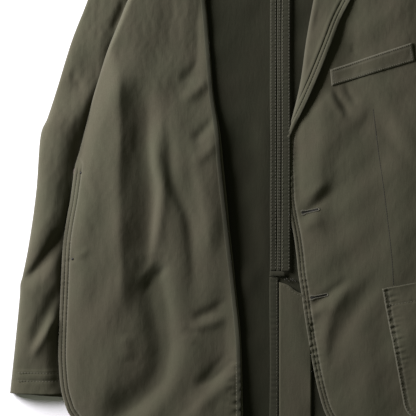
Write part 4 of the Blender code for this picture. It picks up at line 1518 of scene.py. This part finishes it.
@dataclass
class Sleeve:
    """Two-piece sleeve lying flat, its upper half crowned."""

    side: str
    seam_height: float = 3.6
    end_height: float = 6.0

    def __post_init__(self) -> None:
        """Place the seams for the sleeve's side."""
        flip = -1 if self.side == "right" else 1
        self.outer = SLEEVE_OUTER * (flip, 1)
        self.inner = SLEEVE_INNER * (flip, 1)
        if self.side == "right":
            self.inner = self.inner + (0.8, 0)
        self.columns = np.concatenate([(0, 0.006, 0.018, 0.035, 0.055), np.linspace(0.08, 0.92, 46),
                                       (0.945, 0.965, 0.982, 0.994, 1)])

    def shell(self, upper: bool, rows: int) -> np.ndarray:
        """Grid of one half, from its outer seam to its inner seam."""
        shares = np.linspace(0, 1, rows)
        west = at_shares(self.outer, shares)
        east = at_shares(self.inner, shares)
        u = self.columns
        grid = west[:, None] * (1 - u[None, :, None]) + east[:, None] * u[None, :, None]
        flat = grid.reshape(-1, 2)
        rounding = (1 - np.abs(2 * u - 1) ** 7.0) ** (1 / 2.3)
        if not upper:
            z = 3.4 - 2.9 * rounding[None, :] + np.zeros((rows, 1))
            return np.dstack([grid, z])
        top = self.top(flat).reshape(rows, len(u))
        z = self.seam_height + (top - self.seam_height) * rounding[None, :]
        return np.dstack([grid, z])

    def top(self, xy: np.ndarray) -> np.ndarray:
        """Height of the sleeve's upper cloth over its width."""
        drift = Drift(41, 0.7, 24, 60, 16, 1.2).height(xy) \
            + Drift(42, 0.12, 6, 14, 16, 0.9).height(xy)
        if self.side == "left":
            body = nearest(xy, SIDE_LEFT)
            covered = (body.side > 0) & (xy[:, 1] < 470)
            crown = np.where(covered, 6.2, 6.2 + 4.0 * ramp(body.gap, 0, 30))
            return crown + np.minimum(drift, 0.0)
        tip = ramp(xy[:, 1], 540, 625)
        crown = Lay.sleeve_top(xy) * (1 - tip) + self.end_height * tip
        covered = nearest(xy, PAGE_LEFT)
        bare = np.where(covered.side > 0, ramp(covered.gap, -4, 8), 0.0)
        y = xy[:, 1]
        hem = 1.2 * (1 - ramp(y, 92, 94)) - 1.0 * hump(y, 90.0, 1.5) - 0.9 * hump(y, 80.0, 1.5)
        return crown + (folds(SLEEVE_CREASES, xy) + drift + hem) * bare

    def build(self, wardrobe: Wardrobe) -> None:
        """Make both halves and the cuff stitching."""
        rows = 300 if self.side == "right" else 120
        for upper, name in ((True, "upper"), (False, "under")):
            grid = self.shell(upper, rows if upper else 60)
            if not upper:
                grid[0, :, 1] -= 4.0 * np.sin(math.pi * self.columns)
            if (self.side == "right") != upper:
                grid = grid[:, ::-1]
            u = self.columns if (self.side == "right") == upper else self.columns[::-1]
            # Lighter along both folded edges of each half: partly wear, partly painted highlight of the
            # rounded edge.
            worn_and_lit = 0.8 * np.exp(-np.minimum(u, 1 - u) / 0.006)[None, :] * np.ones((len(grid), 1))
            obj = cloth_object("sleeve_%s_%s_cloth" % (self.side, name), grid,
                               wardrobe.of(OUTSIDE), worn_and_lit=worn_and_lit)
            node = "sleeve_%s_%s" % (self.side, name)
            settle(obj, [node])
            sheet_area(grid)
        self.cuff(wardrobe)
        LOG.info("%s sleeve", self.side)

    def cuff(self, wardrobe: Wardrobe) -> None:
        """Rows of stitching that hold the cuff's turning."""
        thread = Stitches("cuff_stitches_" + self.side, "sleeve_%s_upper" % self.side)
        for share in (0.029, 0.047):
            a = at_shares(self.outer, np.array([share]))[0]
            b = at_shares(self.inner, np.array([share]))[0]
            line = a + (b - a) * np.linspace(0.06, 0.94, 60)[:, None]
            thread.row(line, lambda xy: self.top(xy) + 0.6)
        thread.build(wardrobe.of(THREAD))


# ---------------------------------------------------------------- collar


@dataclass
class Collar:
    """Fall and stand of the collar, past the neck seam.

    Attributes:
        fall_table: A row for each section of the fall: x, y and height of its ridge, height of the
            cloth just past the ridge, then x, y and height of its outer edge.
        stand_table: A row for each section of the stand: x, y and height of its neck edge, then of
            its ridge edge.
    """

    fall_table: tuple[tuple[float, ...], ...] = (
        (69, 660, 12.2, 12.0, 136, 645, 11.0), (75, 683, 12.4, 12.0, 135, 670, 10.4),
        (77, 704, 10.6, 9.8, 126, 695, 8.0), (68, 714, 6.8, 5.8, 100, 722, 4.8),
        (56, 715, 4.6, 2.4, 70, 711, 2.0), (44, 715, 3.9, 1.0, 50, 691, 0.8),
        (28, 714, 3.75, 0.9, 30, 671, 0.75), (0, 713, 3.75, 0.9, 0, 668, 0.75),
        (-28, 714, 3.75, 0.9, -30, 671, 0.75), (-44, 715, 3.9, 1.0, -50, 691, 0.8),
        (-56, 715, 4.4, 2.2, -70, 711, 2.0), (-68, 714, 5.0, 3.8, -98, 722, 3.2),
        (-79, 707, 5.0, 4.2, -116, 713, 3.2), (-86, 698, 5.2, 4.4, -117, 702, 3.6))
    stand_table: tuple[tuple[float, ...], ...] = (
        (82, 697, 5.0, 75, 707, 5.4), (74, 695.5, 4.6, 69, 708, 5.0), (64, 692.0, 3.9, 61, 710, 4.3),
        (50, 687.5, 4.3, 54, 711.5, 4.2), (30, 682.8, 4.0, 28, 712, 3.9),
        (0, 681.4, 4.0, 0, 711.5, 3.9), (-30, 682.8, 4.0, -28, 712, 3.9),
        (-50, 687.5, 4.3, -54, 711.5, 4.2), (-64, 692.0, 3.8, -61, 710, 4.2),
        (-74, 695.5, 3.6, -69, 709, 3.8), (-84, 696, 3.4, -80, 708, 3.6))

    def build(self, wardrobe: Wardrobe) -> None:
        """Make the fall and the stand."""
        stations = curve(self.fall_table, 10)
        rows = []
        for rx, ry, rz, past, ex, ey, ez in stations:
            ridge, edge = np.array([rx, ry]), np.array([ex, ey])
            back = (ridge - edge) / np.linalg.norm(ridge - edge)
            start = ridge - back * 2
            row = [(*ridge, rz), (*(ridge + back * 0.9), rz * 0.7 + past * 0.3),
                   (*(ridge + back * 1.0), rz * 0.3 + past * 0.7), (*start, past)]
            for u in np.linspace(0, 1, 20)[1:]:
                puff = 0.8 * math.sin(math.pi * u) * ramp(np.array(rz), 5, 9)
                row.append((*(start + (edge - start) * u), past + (ez - past) * u + puff))
            rows.append(row)
        grid = np.array(rows)
        obj = cloth_object("collar_fall_cloth", grid, wardrobe.of(OUTSIDE), 1.2)
        settle(obj, ["collar_fall"])
        stations = curve(self.stand_table, 10)
        grid = np.array([np.linspace(s[:3], s[3:], 10) for s in stations])
        obj = cloth_object("collar_stand_cloth", grid, wardrobe.of(INSIDE), 1.2)
        settle(obj, ["collar_stand"])
        LOG.info("collar")


# ---------------------------------------------------------------- studio


@dataclass
class Studio:
    """Pale table, soft light from the upper left, and the camera above."""

    centre: tuple[float, float] = (-88.75, 296.0)
    field_of_view: float = 520.0
    plane: float = 12.0
    distance: float = 1.6
    key_turn: float = 152.0
    key_rise: float = 25.0
    key_away: float = 1.5
    key_power: float = 60.0
    key_size: float = 0.7
    fill: float = 0.135
    key_tint: tuple[float, float, float] = (1.0, 0.97, 1.05)
    fill_tint: tuple[float, float, float, float] = (0.95, 1.0, 0.76, 1.0)

    def place(self, x: float, y: float, z: float) -> Vector:
        """Plan point in the frame's metres."""
        return Vector(PLAN.metres(np.array([[x, y, z]]))[0])

    def build(self, wardrobe: Wardrobe) -> None:
        """Make the table, the lights, the world and the camera."""
        mesh = bpy.data.meshes.new("table")
        half = 3.0
        mesh.from_pydata([(-half, -half, -0.0002), (half, -half, -0.0002), (half, half, -0.0002),
                          (-half, half, -0.0002)], [], [(0, 1, 2, 3)])
        table = bpy.data.objects.new("table", mesh)
        bpy.context.scene.collection.objects.link(table)
        table.data.materials.append(wardrobe.of(TABLE))
        aim = self.place(*self.centre, 8)
        self.light("key", aim, self.key_turn, self.key_rise, self.key_away, self.key_size, self.key_power)
        world = bpy.data.worlds.new("studio")
        world.use_nodes = True
        world.node_tree.nodes["Background"].inputs["Color"].default_value = self.fill_tint
        world.node_tree.nodes["Background"].inputs["Strength"].default_value = self.fill
        bpy.context.scene.world = world
        bpy.context.scene.view_settings.view_transform = "Standard"
        camera = bpy.data.cameras.new("camera")
        reach = self.distance - self.plane * MM
        camera.lens = camera.sensor_width * reach / (self.field_of_view * MM)
        camera.clip_start = 0.05
        rig = bpy.data.objects.new("camera", camera)
        rig.location = self.place(*self.centre, 0) + Vector((0, 0, self.distance))
        bpy.context.scene.collection.objects.link(rig)
        bpy.context.scene.camera = rig
        LOG.info("studio")

    def light(self, name: str, aim: Vector, turn: float, rise: float, away: float, size: float,
              power: float) -> None:
        """Square soft light aimed at a point.

        Args:
            name: Light's name.
            aim: Point that it faces.
            turn: Compass angle of the light from +X, in degrees.
            rise: Angle above the table, in degrees.
            away: Distance in metres.
            size: Side of the light in metres.
            power: Power in watts.
        """
        lamp = bpy.data.lights.new(name, "AREA")
        lamp.shape = "SQUARE"
        lamp.size = size
        lamp.energy = power
        lamp.color = self.key_tint
        obj = bpy.data.objects.new(name, lamp)
        a, e = math.radians(turn), math.radians(rise)
        way = Vector((math.cos(a) * math.cos(e), math.sin(a) * math.cos(e), math.sin(e)))
        obj.location = aim + way * away
        obj.rotation_euler = way.to_track_quat("Z", "Y").to_euler()
        bpy.context.scene.collection.objects.link(obj)


def main() -> None:
    """Build the garment in the order it is laid, then the studio."""
    logging.basicConfig(level=logging.INFO, format="%(name)s: %(message)s")
    wardrobe = Wardrobe()
    Back().build(wardrobe)
    Sleeve("right").build(wardrobe)
    Sleeve("left").build(wardrobe)
    LeftFront().build(wardrobe)
    RightFront().build(wardrobe)
    Collar().build(wardrobe)
    Studio().build(wardrobe)


if __name__ == "__main__":
    main()
